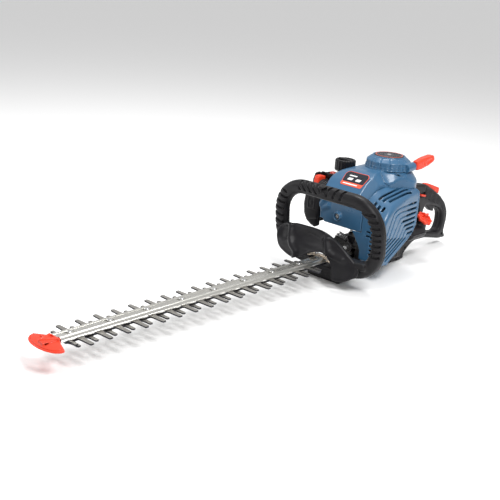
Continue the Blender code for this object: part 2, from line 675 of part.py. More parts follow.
def choke_lever():
    x, y, z = CHOKE_PIVOT
    outline = [(y - 3, z - 4), (y + 3, z - 4), (y + 6, z + 5), (y + 20, z + 10), (y + 19, z + 19),
               (y - 3, z + 22), (y - 6, z + 8)]
    lever = prism("choke_lever", outline, "X", x - 6, x + 6, "orange_plastic")
    bevelled(lever, 1.5)
    pivot(lever, CHOKE_PIVOT)


def fuel_system():
    x, y, top = FUEL_NECK
    tank = box("fuel_tank", (-112, -51.6, 99), (-66.4, 30, top), "tank_plastic")
    bevelled(tank, 10, 3)
    neck = cylinder("neck", (x, y, top - 6), (x, y, top + 14), 15, "tank_plastic")
    bore = cylinder("bore", (x, y, top - 16), (x, y, top + 20), 12, "tank_plastic")
    room = box("room", (-109, -48.6, 102), (-69.4, 27, top - 3), "tank_plastic")
    bevelled(room, 8, 2)
    cut(join(tank, neck), room, bore)
    cap = turned("fuel_cap", [(0, 31), (19, 31), (21.5, 28), (21.5, 8), (16, 8), (16, 24), (0, 24)],
                 FUEL_NECK, "black_plastic", 20)
    bar = box("bar", (x - 16, y - 3, top + 28), (x + 16, y + 3, top + 33), "black_plastic")
    join(cap, bar)


def primer_bulb():
    dome = [(7.4 * math.sin(math.radians(a)), 31 + 7 * math.cos(math.radians(a)))
            for a in range(0, 91, 18)]
    turned("primer_bulb", dome + [(7.4, 28), (0, 28)], PRIMER_FOOT, "bulb_rubber", 16)


def oil_system():
    low, high = (16.5, 48, 36), (52, 110, 76)
    tank = box("oil_tank", low, high, "black_plastic")
    bevelled(tank, 6, 3)
    axis = Vector((0.5708, 0, 0.8211))
    foot = Vector((28.6, 100.6, 70.5))
    neck = cylinder("neck", foot - axis * 4, foot + axis * 16, 9, "black_plastic", 16)
    hole = cylinder("hole", foot - axis * 14, foot + axis * 22, 6.5, "black_plastic", 16)
    cut(join(tank, neck), hole)
    cap = turned("oil_cap", [(0, 7), (17, 7), (18, 5), (18, 1), (0, 1)], foot + axis * 16,
                 "orange_plastic", 20, axis=tuple(axis))
    plug = cylinder("plug", foot + axis * 8, foot + axis * 20, 5.8, "orange_plastic", 16)
    tab = box("tab", (-11, -2, 6), (11, 2, 15), "orange_plastic")
    turn = Vector((0, 0, 1)).rotation_difference(axis).to_matrix().to_4x4()
    tab.data.transform(Matrix.Translation((foot + axis * 16) * MM) @ turn)
    join(cap, plug, tab)


# ---------------------------------------------------------------- handles and guard

def loop_path():
    """The front handle's centre line: a rounded rectangle in a plane that leans forwards."""
    half, radius = LOOP_HALF_WIDTH, LOOP_CORNER
    flat = []
    side, top, bottom = half - radius, LOOP_TOP_Z - radius, LOOP_BOTTOM_Z + radius
    for x, z, start in ((side, top, 0), (-side, top, 90), (-side, bottom, 180), (side, bottom, 270)):
        flat += arc((x, z), radius, start, start + 90, 6)
    return [(x, LOOP_Y - (z - 100) * math.tan(LOOP_LEAN), z) for x, z in flat]


def front_handle():
    loop = rod("front_handle", loop_path(), LOOP_RADIUS, "black_plastic", 2, closed=True)
    foot = box("foot", (-40, -182, 0), (40, -136, 29), "black_plastic")
    bevelled(foot, 4)
    join(loop, foot)
    blade_way = box("blade_way", (-34, -200, 28.6), (34, -130, 53), "black_plastic")
    return cut(loop, blade_way)


def hand_guard():
    """A scooped shield in front of the loop, with a mouth that the blades leave through."""
    columns = [(-106, 68, 82, 0), (-99, 55, 89, 7), (-87, 47, 96, 13), (-63, 40, 101, 18),
               (-33, 36, 102.5, 20), (-1, 36, 102.5, 20), (20, 34, 98, 18), (46, 16, 85, 13),
               (66, 18, 69, 8), (80, 28, 58, 3), (92, 34, 50, 1)]
    rows = []
    for step in range(6):
        share = step / 5
        row = []
        for x, low, high, depth in columns:
            z = low + (high - low) * share
            bulge = depth * (1 - 0.75 * share * share)
            row.append((x, -199 - bulge - (z - 60) * 0.1 + 8 * share * share, z))
        rows.append(row)
    guard = sheet("hand_guard", rows, 3.6, "black_plastic")
    mouth = prism("mouth", [(-44, 10), (-44, 41), (-23, 48), (-10, 58), (8, 65), (20, 65), (31, 58),
                            (40, 44), (44, 10)], "Y", -260, -180, "black_plastic")
    return cut(guard, mouth)


def base_frame():
    """The flat-bottomed keel under the gearbox, which the handles bolt to."""
    keel = box("base_frame", (-22, -135.6, 0), (22, 66, 12), "black_plastic")
    return bevelled(keel, 2.5)


def rear_handle():
    """The D handle in one side outline, with a slot along its grip for the controls."""
    top = [(66.4, 150), (72, 160), (111, 153), (142, 149), (181, 129), (206, 115), (229, 96)]
    back = [(242, 76), (244.5, 58), (238, 28), (246, 18), (245, 12), (222, 13)]
    bottom = [(190, 20), (163, 25.5), (118, 26), (96, 14.5), (80, 1), (66.4, 1)]
    handle = prism("rear_handle", top + back + bottom, "X", -GRIP_HALF, GRIP_HALF, "black_plastic")
    bevelled(handle, 4.5, 2, 25)
    opening = prism("opening", [(146, 101), (165, 99), (192, 92), (211, 84), (222, 70), (224, 52),
                                (217, 36), (208, 32), (168, 38), (152, 44), (142, 60), (140, 88)],
                    "X", -40, 40, "black_plastic")
    controls = prism("controls", [(140, 168), (209, 150), (197, 66), (140, 78)], "X", -7, 7,
                     "black_plastic")
    switch_way = box("switch_way", (8, 113, 124), (24, 136, 133), "black_plastic")
    cut(handle, opening, controls, switch_way)
    return handle


def controls():
    lockout = prism("throttle_lockout", [(144, 129), (146, 149), (203, 132), (204, 119.5), (155, 126.5)],
                    "X", -6.4, 6.4, "orange_plastic")
    pivot(bevelled(lockout, 1.2, 1), (0, 149, 139))
    trigger = prism("throttle_trigger", [(143.5, 108), (145, 121), (160, 121), (194, 105), (190, 80),
                                         (178, 84), (160, 97)], "X", -6.2, 6.2, "black_plastic")
    pivot(bevelled(trigger, 1.2, 1), (0, 150, 115))
    box("stop_switch", (8.6, 115, 124.8), (18.5, 129, 132.2), "orange_plastic")


# ---------------------------------------------------------------- the whole machine

def build():
    upper_first = FIRST_TOOTH_Y
    blade("upper_blade", UPPER_BLADE_Z, upper_first, LONG_TOOTH, 11.5, 4.0, True)
    blade("lower_blade", LOWER_BLADE_Z, upper_first + PITCH / 2, SHORT_TOOTH, 9.0, 3.5, False)
    guide_bar()
    blade_bolts()
    tip_guard()
    bar_bracket()
    drive_gear()
    conrod("upper_conrod", UPPER_BLADE_Z + BLADE_THICK + 1.0, UPPER_BLADE_Z + BLADE_THICK + FIT, 44)
    conrod("lower_conrod", LOWER_BLADE_Z - FIT - 1.0 - CONROD_THICK, 31.5, LOWER_BLADE_Z - FIT)
    gearbox()
    clutch()
    crankshaft()
    flywheel_fan()
    crankcase()
    cylinder_barrel()
    piston_group()
    cylinder_fittings()
    engine_shroud()
    muffler_cover()
    starter_cover()
    recoil_starter()
    air_side()
    choke_lever()
    fuel_system()
    primer_bulb()
    oil_system()
    front_handle()
    hand_guard()
    base_frame()
    rear_handle()
    controls()


clear_scene()
PARTS = collection("hedge_trimmer")
CUTTERS = collection("cutters")
build()
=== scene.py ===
"""Looks of the petrol hedge trimmer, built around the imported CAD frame.

Moulded and cast pieces are described as solids on a fine grid, by their signed distance, and
skinned with OpenVDB, as Blender's voxel remesh does. Plates and turned pieces are made in bmesh.
Sizes in the piece functions are millimetres in the CAD frame: +Z up, -Y towards the blade's tip.
"""
import json
import math

import bmesh
import bpy
import numpy as np
import openvdb
from mathutils import Matrix, Vector


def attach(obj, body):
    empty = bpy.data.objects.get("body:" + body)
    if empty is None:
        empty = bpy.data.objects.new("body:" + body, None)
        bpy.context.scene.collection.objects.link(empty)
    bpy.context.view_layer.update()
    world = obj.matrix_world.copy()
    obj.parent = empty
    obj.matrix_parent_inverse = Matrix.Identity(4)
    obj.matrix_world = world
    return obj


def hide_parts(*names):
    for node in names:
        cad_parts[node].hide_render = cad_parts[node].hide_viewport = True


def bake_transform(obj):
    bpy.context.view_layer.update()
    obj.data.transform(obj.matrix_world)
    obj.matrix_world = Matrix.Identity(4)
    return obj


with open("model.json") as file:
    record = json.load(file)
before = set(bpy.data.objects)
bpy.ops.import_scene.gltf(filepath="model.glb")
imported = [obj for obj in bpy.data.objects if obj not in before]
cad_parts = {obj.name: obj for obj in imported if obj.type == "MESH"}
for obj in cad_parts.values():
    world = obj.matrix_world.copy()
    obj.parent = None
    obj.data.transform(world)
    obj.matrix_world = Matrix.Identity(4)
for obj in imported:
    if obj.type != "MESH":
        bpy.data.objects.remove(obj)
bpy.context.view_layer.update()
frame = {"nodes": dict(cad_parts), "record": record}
NODES = frame["nodes"]
MM = 0.001
SCENE = bpy.context.scene


# ---------------------------------------------------------------- camera, light and floor

CAMERA_PLACE = Vector((1.021464, -1.540175, 0.601086))
CAMERA_TURN = 0.729444721        # radians, from looking along +Y towards -X
CAMERA_DOWN = 0.315463891
CAMERA_ROLL = 0.0750096917
SENSOR = 36.0                    # millimetres
LENS = 66.4212
# Each light's name, place, width and height in metres, and power in watts.
LIGHTS = (("key_light", (1.2, -0.6, 1.9), (0.7, 0.7), 34),
          ("top_light", (-0.5, 0.3, 1.9), (0.9, 0.6), 20),
          ("fill_light", (-1.6, -1.2, 0.9), (0.8, 1.2), 7))
LIT_POINT = (0, -0.2, 0.1)
SKY_STRENGTH = 0.66
FLOOR_SIZE = 40
FLOOR_DROP = 0.0005              # the floor lies this far under the machine
FLOOR_GREY = 0.93


def new_object(name, data):
    obj = bpy.data.objects.new(name, data)
    SCENE.collection.objects.link(obj)
    return obj


def camera():
    """The camera, at the height, turn and roll that the machine is seen from."""
    turn, down, roll = CAMERA_TURN, CAMERA_DOWN, CAMERA_ROLL
    ahead = Vector((-math.sin(turn) * math.cos(down), math.cos(turn) * math.cos(down),
                    -math.sin(down)))
    level = Vector((math.cos(turn), math.sin(turn), 0))
    upright = level.cross(ahead)
    right = math.cos(roll) * level + math.sin(roll) * upright
    up = -math.sin(roll) * level + math.cos(roll) * upright
    pose = Matrix((right, up, -ahead)).transposed().to_4x4()
    pose.translation = CAMERA_PLACE
    data = bpy.data.cameras.new("camera")
    data.sensor_width = SENSOR
    data.lens = LENS
    made = new_object("camera", data)
    made.matrix_world = pose
    SCENE.camera = made


def soft_box(name, spot, target, size, power):
    """A rectangular soft light."""
    data = bpy.data.lights.new(name, "AREA")
    data.shape = "RECTANGLE"
    data.size, data.size_y = size
    data.energy = power
    made = new_object(name, data)
    made.location = spot
    made.rotation_euler = (Vector(target) - Vector(spot)).to_track_quat("-Z", "Y").to_euler()


def studio():
    """Plain light and a pale floor."""
    world = bpy.data.worlds.new("studio")
    SCENE.world = world
    world.use_nodes = True
    sky = world.node_tree.nodes["Background"]
    sky.inputs["Color"].default_value = (1.0, 1.0, 1.0, 1.0)
    sky.inputs["Strength"].default_value = SKY_STRENGTH
    for name, spot, size, power in LIGHTS:
        soft_box(name, spot, LIT_POINT, size, power)
    SCENE.view_settings.view_transform = "Standard"
    bpy.ops.mesh.primitive_plane_add(size=FLOOR_SIZE, location=(0, 0, -FLOOR_DROP))
    floor = bpy.context.object
    floor.name = "floor"
    paper = bpy.data.materials.new("floor_paper")
    paper.use_nodes = True
    shader = paper.node_tree.nodes["Principled BSDF"]
    shader.inputs["Base Color"].default_value = (FLOOR_GREY, FLOOR_GREY, FLOOR_GREY, 1)
    shader.inputs["Roughness"].default_value = 0.9
    floor.data.materials.append(paper)


# ---------------------------------------------------------------- materials

MATERIAL = {}
NOISE_SPAN = (0.3, 0.7)          # noise values seldom fall outside this
PATCH_SCALE = 22.0               # noise cells per metre, of the colour's patches
GLOSS_SCALE = 60.0               # and of the roughness
EDGE_SPAN = (0.53, 0.66)         # how pointed an edge is where its lighter colour, a painted highlight and wear, begins and where it is full
# the largest share of the lighter edge colour, which is painted highlight and wear
EDGE_HIGHLIGHT_AND_WEAR = 0.75


def wire(tree, made, inputs):
    """Sets a node's inputs, and links those whose value is another node's output."""
    for name, value in inputs.items():
        if isinstance(value, bpy.types.NodeSocket):
            tree.links.new(value, made.inputs[name])
        else:
            made.inputs[name].default_value = value


def node(tree, kind, output, inputs):
    made = tree.nodes.new("ShaderNode" + kind)
    wire(tree, made, inputs)
    return made.outputs[output]


def ramp(tree, value, low, high):
    """A value, such as noise, turned into a colour between two."""
    made = tree.nodes.new("ShaderNodeValToRGB")
    for element, stop, colour in zip(made.color_ramp.elements, NOISE_SPAN, (low, high)):
        element.position = stop
        element.color = (*colour, 1)
    wire(tree, made, {"Fac": value})
    return made.outputs["Color"]


def noise(tree, scale, stretch=(1, 1, 1), detail=3.0):
    """A noise value in the object's own space."""
    point = node(tree, "TexCoord", "Object", {})
    point = node(tree, "Mapping", "Vector", {"Scale": stretch, "Vector": point})
    return node(tree, "TexNoise", "Fac", {"Scale": scale, "Detail": detail, "Vector": point})


def finish(name, colour, roughness, metallic=0.0, grain=900.0, depth=0.00004, stretch=(1, 1, 1),
           vary=0.12, edge_highlight_and_wear=None, coat=0.0, see_through=0.0, shine=0.5):
    """A procedural finish: patchy colour, lighter edges that are painted highlight and wear, uneven
    roughness and a fine surface grain.
    """
    made = MATERIAL[name] = bpy.data.materials.new(name)
    made.use_nodes = True
    tree = made.node_tree
    patches = noise(tree, PATCH_SCALE, stretch)
    tint = ramp(tree, patches, [c * (1 - vary) for c in colour], [c * (1 + vary) for c in colour])
    # Pointed edges are mixed towards a lighter colour: a painted highlight, and wear.
    if edge_highlight_and_wear:
        edges = node(tree, "NewGeometry", "Pointiness", {})
        share = node(tree, "MapRange", "Result",
                     {"From Min": EDGE_SPAN[0], "From Max": EDGE_SPAN[1], "To Max": EDGE_HIGHLIGHT_AND_WEAR,
                      "Value": edges})
        mixed = tree.nodes.new("ShaderNodeMix")
        mixed.data_type = "RGBA"
        wire(tree, mixed, {"Factor": share, "A": tint, "B": ramp(tree, patches, edge_highlight_and_wear, edge_highlight_and_wear)})
        tint = mixed.outputs["Result"]
    bump = node(tree, "Bump", "Normal", {"Strength": 0.6, "Distance": depth,
                                         "Height": noise(tree, grain, stretch, 2.0)})
    uneven = node(tree, "MapRange", "Result",
                  {"From Min": NOISE_SPAN[0], "From Max": NOISE_SPAN[1],
                   "To Min": roughness * 0.82, "To Max": roughness * 1.18,
                   "Value": noise(tree, GLOSS_SCALE, stretch)})
    wire(tree, tree.nodes["Principled BSDF"],
         {"Metallic": metallic, "Coat Weight": coat, "Transmission Weight": see_through,
          "Specular IOR Level": shine, "Base Color": tint, "Roughness": uneven, "Normal": bump})


ALONG = (1.0, 0.03, 1.0)         # brushing that runs along the blade
# The lighter edge colours given below are painted highlights, with some wear.
finish("blue_plastic", (0.031, 0.107, 0.207), 0.33, grain=1500, depth=0.00003, vary=0.05,
       edge_highlight_and_wear=(0.20, 0.42, 0.60), coat=0.2, shine=0.4)
finish("black_plastic", (0.0065, 0.0060, 0.0078), 0.40, grain=1400, depth=0.00006, vary=0.18,
       edge_highlight_and_wear=(0.030, 0.028, 0.034), shine=0.25)
finish("handle_rubber", (0.0058, 0.0054, 0.0066), 0.44, grain=1800, depth=0.00008, vary=0.20,
       edge_highlight_and_wear=(0.022, 0.020, 0.024), shine=0.25)
finish("orange_plastic", (0.72, 0.046, 0.015), 0.36, grain=1200, vary=0.06,
       edge_highlight_and_wear=(0.92, 0.20, 0.11), coat=0.1, shine=0.35)
finish("blade_steel", (0.36, 0.345, 0.32), 0.36, 1.0, grain=2600, depth=0.00003, stretch=ALONG,
       vary=0.14)
finish("bar_aluminium", (0.66, 0.65, 0.61), 0.28, 1.0, grain=2600, stretch=ALONG, vary=0.10,
       edge_highlight_and_wear=(0.90, 0.89, 0.86))
# Near black: painted shade for the blades' sides and chamfers.
finish("blade_side_shade", (0.030, 0.030, 0.036), 0.42, 0.6, grain=2400, depth=0.00003, vary=0.25,
       shine=0.3)
finish("plated_steel", (0.66, 0.56, 0.45), 0.30, 1.0, vary=0.16, edge_highlight_and_wear=(0.9, 0.82, 0.7))
finish("bright_steel", (0.80, 0.80, 0.80), 0.22, 1.0, vary=0.10)
finish("dark_steel", (0.13, 0.13, 0.135), 0.42, 1.0, grain=1100, vary=0.2, edge_highlight_and_wear=(0.4, 0.4, 0.4))
finish("cast_metal", (0.34, 0.34, 0.34), 0.52, 1.0, grain=700, depth=0.00015, vary=0.15,
       edge_highlight_and_wear=(0.62, 0.62, 0.62))
finish("painted_casting", (0.014, 0.013, 0.014), 0.42, grain=600, depth=0.00018, vary=0.25,
       edge_highlight_and_wear=(0.09, 0.09, 0.09), shine=0.4)
finish("rubber", (0.020, 0.019, 0.019), 0.75, grain=1300, depth=0.0001, vary=0.2)
finish("bulb_rubber", (0.42, 0.035, 0.020), 0.32, grain=800, vary=0.1, see_through=0.25)
finish("rope_fibre", (0.34, 0.32, 0.28), 0.85, grain=2500, depth=0.0002, vary=0.25)
finish("foam", (0.09, 0.09, 0.085), 0.95, grain=1600, depth=0.0006, vary=0.3)
finish("ceramic", (0.86, 0.85, 0.82), 0.18, grain=500, depth=0.00002, vary=0.03)
finish("tank_plastic", (0.86, 0.84, 0.74), 0.38, vary=0.05, see_through=0.35)
finish("badge_dark", (0.016, 0.019, 0.027), 0.32, grain=1200, vary=0.08, shine=0.35)
finish("badge_pale", (0.80, 0.80, 0.80), 0.35, grain=1200, vary=0.04)


# ---------------------------------------------------------------- solids on a grid

class Grid:
    """Points in millimetres over a box. x, y and z broadcast against each other."""

    def __init__(self, low, high, cell):
        self.low = np.array(low, float)
        self.cell = cell
        axes = [np.arange(a, b + cell, cell, dtype=np.float32) for a, b in zip(low, high)]
        self.shape = tuple(len(axis) for axis in axes)
        self.x, self.y, self.z = np.meshgrid(*axes, indexing="ij", sparse=True)


def both(*fields):
    """Where all the solids overlap."""
    result = fields[0]
    for field in fields[1:]:
        result = np.maximum(result, field)
    return result


def either(*fields):
    """Where any of the solids is."""
    result = fields[0]
    for field in fields[1:]:
        result = np.minimum(result, field)
    return result


def melt(a, b, size):
    """Two solids joined with a fillet."""
    share = np.clip(0.5 + 0.5 * (b - a) / size, 0, 1)
    return b + (a - b) * share - size * share * (1 - share)


def meet(a, b, size):
    """Where two solids overlap, with their common edge rounded."""
    return -melt(-a, -b, size)


def less(body, *cutters):
    """A solid with others cut out of it."""
    for cutter in cutters:
        body = np.maximum(body, -cutter)
    return body


def block(g, low, high, rounding=0.0):
    """A box between two corners, with its edges rounded."""
    parts = []
    for axis, a, b in zip((g.x, g.y, g.z), low, high):
        parts.append(np.abs(axis - (a + b) / 2) - (b - a) / 2 + rounding)
    outside = np.sqrt(sum(np.maximum(part, 0) ** 2 for part in parts))
    return outside + np.minimum(both(*parts), 0) - rounding


def wall(g, point, normal):
    """A half space: solid on the side that the normal points away from."""
    length = math.sqrt(sum(n * n for n in normal))
    return sum((axis - p) * n / length for axis, p, n in zip((g.x, g.y, g.z), point, normal))


def bar(g, start, end, radius, flat=False):
    """A round bar between two points, with round or flat ends."""
    start, end = np.array(start, float), np.array(end, float)
    span = end - start
    length = float(np.linalg.norm(span))
    rel = [axis - s for axis, s in zip((g.x, g.y, g.z), start)]
    along = sum(r * s for r, s in zip(rel, span)) / length
    if flat:
        square = sum(r * r for r in rel) - along ** 2
        side = np.sqrt(np.maximum(square, 0)) - radius
        return both(side, -along, along - length)
    nearest = np.clip(along, 0, length)
    return np.sqrt(sum((r - s / length * nearest) ** 2 for r, s in zip(rel, span))) - radius


def chain(g, points, radius):
    """Round bars end to end through some points."""
    return either(*[bar(g, a, b, radius) for a, b in zip(points, points[1:])])


def outline(u, v, points):
    """Signed distance to a closed outline in a plane."""
    nearest = None
    inside = np.zeros(np.broadcast(u, v).shape, bool)
    for (u0, v0), (u1, v1) in zip(points, points[1:] + points[:1]):
        eu, ev = u1 - u0, v1 - v0
        du, dv = u - u0, v - v0
        t = np.clip((du * eu + dv * ev) / (eu * eu + ev * ev), 0, 1)
        square = (du - eu * t) ** 2 + (dv - ev * t) ** 2
        nearest = square if nearest is None else np.minimum(nearest, square)
        if v0 != v1:
            crosses = ((v0 <= v) != (v1 <= v)) & (du < eu * dv / ev)
            inside ^= np.broadcast_to(crosses, inside.shape)
    return np.where(inside, -1, 1) * np.sqrt(nearest)


def rounded(points, radius, steps=4):
    """A closed outline with every corner rounded."""
    result = []
    count = len(points)
    for i in range(count):
        corner = Vector(points[i])
        before = Vector(points[i - 1]) - corner
        after = Vector(points[(i + 1) % count]) - corner
        reach = min(radius, before.length / 2.2, after.length / 2.2)
        first = corner + before.normalized() * reach
        last = corner + after.normalized() * reach
        for j in range(steps + 1):
            t = j / steps
            result.append(first * (1 - t) ** 2 + corner * 2 * t * (1 - t) + last * t ** 2)
    return result


def rounded_outline(u, v, points, radius):
    """Signed distance to a closed outline with rounded corners."""
    return outline(u, v, [tuple(point) for point in rounded(points, radius)])


def segment(u, v, start, end):
    """Distance in a plane to a straight line between two points."""
    eu, ev = end[0] - start[0], end[1] - start[1]
    du, dv = u - start[0], v - start[1]
    t = np.clip((du * eu + dv * ev) / (eu * eu + ev * ev), 0, 1)
    return np.hypot(du - eu * t, dv - ev * t)


def path(u, v, points):
    """Distance in a plane to a line through some points."""
    return either(*[segment(u, v, a, b) for a, b in zip(points, points[1:])])


def smooth_curve(x, places, values):
    """Values read off a smooth curve through the given places."""
    fine = np.linspace(places[0], places[-1], 200)
    read = np.interp(fine, places, values)
    window = np.hanning(31)
    padded_read = np.concatenate([np.full(15, read[0]), read, np.full(15, read[-1])])
    read = np.convolve(padded_read, window / window.sum(), "valid")
    return np.interp(x, fine, read)


def off_rays(u, v, count):
    """How far round a point is from the nearest of evenly spaced rays, as a share of their gap."""
    turn = np.arctan2(v, u) / (2 * math.pi) * count
    return np.abs(turn - np.round(turn))


def disc(g, centre, radius, low, high):
    """An upright round plate."""
    side = np.hypot(g.x - centre[0], g.y - centre[1]) - radius
    return both(side, g.z - high, low - g.z)


def stripes(value, spacing, half):
    """Evenly spaced bars, each of a half width."""
    return np.abs(value % spacing - spacing / 2) - half


def soften(field, times):
    """Rounds every edge a little, by averaging each cell with its neighbours."""
    for _ in range(times):
        for axis in range(3):
            wide = np.concatenate([np.take(field, [0], axis), field, np.take(field, [-1], axis)],
                                  axis)
            count = field.shape[axis]
            before = np.take(wide, range(0, count), axis)
            after = np.take(wide, range(2, count + 2), axis)
            field = field * 0.5 + (before + after) * 0.25
    return field


def place(obj, body, slot, material, *replaced):
    """Gives a finished piece its material and its body, and hides the CAD nodes it stands for. Its
    slot is not used.
    """
    wanted = [MATERIAL[one] for one in ([material] if isinstance(material, str) else material)]
    if list(obj.data.materials) != wanted:
        obj.data.materials.clear()
        for one in wanted:
            obj.data.materials.append(one)
    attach(obj, body)
    if replaced:
        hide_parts(*replaced)
    return obj


def skin(name, g, field):
    """The surface of a solid on a grid, as a smooth mesh."""
    reach = 3 * g.cell
    full = np.broadcast_to(field, g.shape)
    values = np.clip(full, -reach, reach).astype(np.float32)
    grid = openvdb.FloatGrid(background=reach)
    grid.copyFromArray(np.ascontiguousarray(values))
    points, triangles, quads = grid.convertToPolygons(isovalue=0.0, adaptivity=0.0)
    points = (points * g.cell + g.low) * MM
    mesh = bpy.data.meshes.new(name)
    faces = [face[::-1] for face in quads.tolist()] + [face[::-1] for face in triangles.tolist()]
    mesh.from_pydata(points.tolist(), [], faces)
    shape = bmesh.new()
    shape.from_mesh(mesh)
    if shape.calc_volume(signed=True) < 0:
        bmesh.ops.reverse_faces(shape, faces=shape.faces)
    shape.to_mesh(mesh)
    shape.free()
    mesh.shade_smooth()
    return new_object(name, mesh)


def mould(name, g, field, body, material, *replaced):
    """Skins a solid and places it, with its material."""
    return place(skin(name, g, field), body, material, material, *replaced)


def join_rings(shape, rings, ends=True):
    """Faces between rings of vertices, one after another, and across the two ends."""
    for near, far in zip(rings, rings[1:]):
        for i in range(len(near)):
            j = (i + 1) % len(near)
            shape.faces.new((near[i], near[j], far[j], far[i]))
    if ends:
        shape.faces.new(rings[0][::-1])
        shape.faces.new(rings[-1])


def raise_plate(shape, ring, step):
    """A flat outline raised into a plate."""
    face = shape.faces.new([shape.verts.new(point) for point in ring])
    grown = bmesh.ops.extrude_face_region(shape, geom=[face])
    moved = [v for v in grown["geom"] if isinstance(v, bmesh.types.BMVert)]
    bmesh.ops.translate(shape, verts=moved, vec=step)


def solid(name, shape, sharp_from=None):
    """An object from a closed bmesh, which is freed. It is smooth up to an angle in degrees."""
    bmesh.ops.recalc_face_normals(shape, faces=shape.faces)
    mesh = bpy.data.meshes.new(name)
    shape.to_mesh(mesh)
    shape.free()
    if sharp_from:
        mesh.shade_smooth()
        mesh.set_sharp_from_angle(angle=math.radians(sharp_from))
    return new_object(name, mesh)


def turned(name, profile, sides):
    """A ring turned about the crank's axis from a closed profile of (radius, height) points."""
    shape = bmesh.new()
    rings = []
    for i in range(sides):
        c, s = math.cos(2 * math.pi * i / sides) * MM, math.sin(2 * math.pi * i / sides) * MM
        rings.append([shape.verts.new((r * c, r * s, z * MM)) for r, z in profile])
    join_rings(shape, rings + rings[:1], ends=False)
    bmesh.ops.remove_doubles(shape, verts=shape.verts, dist=0.00002)
    return solid(name, shape, SHARP)


# ---------------------------------------------------------------- engine covers

DRUM_RADIUS = 61.0
WALL = 2.8                       # how thick the moulded covers are
ROUND_SIDES = 24                 # sides of a small turned piece
SHARP = 35                       # an edge past this angle, in degrees, stays sharp


def drum_shape(g):
    """The fan housing's outside, a coned drum with two flats; the exhaust cover is cut to it."""
    radius = np.hypot(g.x, g.y)
    cone = ((radius - DRUM_RADIUS) * 19.5 + (g.z - 181.5) * 14) / 24.0
    rear = wall(g, (46, 42, 0), (0.30, 0.95, 0))
    fore = wall(g, (51.2, -17, 0), (0.949, -0.316, 0))
    drum = meet(meet(radius - DRUM_RADIUS, rear, 1.5), fore, 4)
    return meet(meet(drum, cone, 2), g.z - 201, 3)


def shroud():
    """Top cover: a fan housing that runs forwards into a sloping panel, with a screw boss."""
    g = Grid((-76, -130, 88), (66, 66, 207), 1.0)
    drum = drum_shape(g)
    left = wall(g, (-67, 0, 80), (-1, 0, -0.06))
    slope = wall(g, (0, -117, 161), (0, -1, 1))
    top = wall(g, (0, -60, 200), (-0.10, -0.03, 1))
    upper = meet(meet(left, slope, 14), top, 20)
    face = meet(-g.y - 122, wall(g, (13, -122, 0), (0.15, -1, 0)), 2)
    band_front = wall(g, (18, -100, 178), (0.75, -0.467, 0.467))
    band_top = wall(g, (19, -59, 199.5), (0.75, 0, 0.66))
    right = meet(meet(g.x - 34, band_front, 1.5), band_top, 2)
    front = both(meet(meet(upper, face, 6), right, 1.5), g.y - 20)
    outer = melt(front, drum, 8)
    base = np.minimum(133 - g.z, np.maximum(93.5 - g.z, g.y + 100))
    shell = both(outer, -(outer + WALL), base)
    boss = bar(g, (-21, -127, 113), (-21, -112, 113), 9, flat=True)
    lug = either(bar(g, (-65, -119, 127), (-56, -121, 142), 6.5),
                 bar(g, (-62, -120, 120), (-48, -121, 128), 5))
    shell = melt(shell, both(boss, base), 2.5)
    shell = melt(shell, both(lug, base), 4)
    ring = np.abs(np.hypot(g.x + 21, g.z - 113) - 7.2) - 0.9
    ring = both(ring, -128.5 - g.y, g.y + 120)
    shell = soften(either(shell, ring), 1)
    head_room = bar(g, (-21, -135, 113), (-21, -121, 113), 6.2, flat=True)
    wedge = bar(g, (38, -28, 200), (49.5, -17.8, 194.5), 2.4)
    edge_line = both(np.abs(band_top + 0.5) - 0.7, np.abs(outer + 0.3) - 1.0, g.y + 45)
    rim_line = both(np.abs(g.z - 136.5) - 0.7, np.abs(outer + 0.2) - 1.1, -(g.y + 90))
    corner_cut = both(outline(g.x, g.z, [(-70, 88), (-70, 100), (-58, 100), (-52, 88)]), g.y + 100)
    reel_room = disc(g, (0, 0), 37, 190, 210)
    shell = less(shell, head_room, wedge, edge_line, rim_line, corner_cut, reel_room)
    made = skin("engine_shroud_shell", g, shell)
    place(made, "chassis", "blue_plastic", "blue_plastic", "engine_shroud")
    screw_head("shroud_screw", (-21, -120.5, 113), (0, -1, 0), 5.2)


def screw_head(name, base, axis, radius):
    """A cap screw's head with a six-sided socket, on its washer."""
    shape = bmesh.new()
    washer, socket = radius * 1.25, radius * 0.5
    profile = [(washer, 0.0), (washer, 0.9), (radius, 0.9), (radius, 3.4), (radius * 0.9, 4.0),
               (radius * 0.55, 4.0), (socket, 1.8)]
    rings = []
    for size, height in profile:
        ring = []
        for angle in np.arange(ROUND_SIDES) * 2 * math.pi / ROUND_SIDES:
            six_sided = math.cos(angle % (math.pi / 3) - math.pi / 6)
            reach = size / six_sided if size < radius * 0.6 else size
            ring.append(shape.verts.new((reach * math.cos(angle), reach * math.sin(angle), height)))
        rings.append(ring)
    join_rings(shape, rings)
    turn = Vector((0, 0, 1)).rotation_difference(Vector(axis)).to_matrix().to_4x4()
    bmesh.ops.transform(shape, verts=shape.verts,
                        matrix=Matrix.Scale(MM, 4) @ Matrix.Translation(base) @ turn)
    place(solid(name, shape, SHARP), "chassis", "plated_steel", "bright_steel")


# Slots along the crown: their x, front end and rear end.
CROWN_SLOTS = ((50, -92, -12), (58, -89.6, -7), (66, -80.6, -4.7), (50, -105.5, -98.3),
               (59, -107, -98.5), (68, -110, -95))
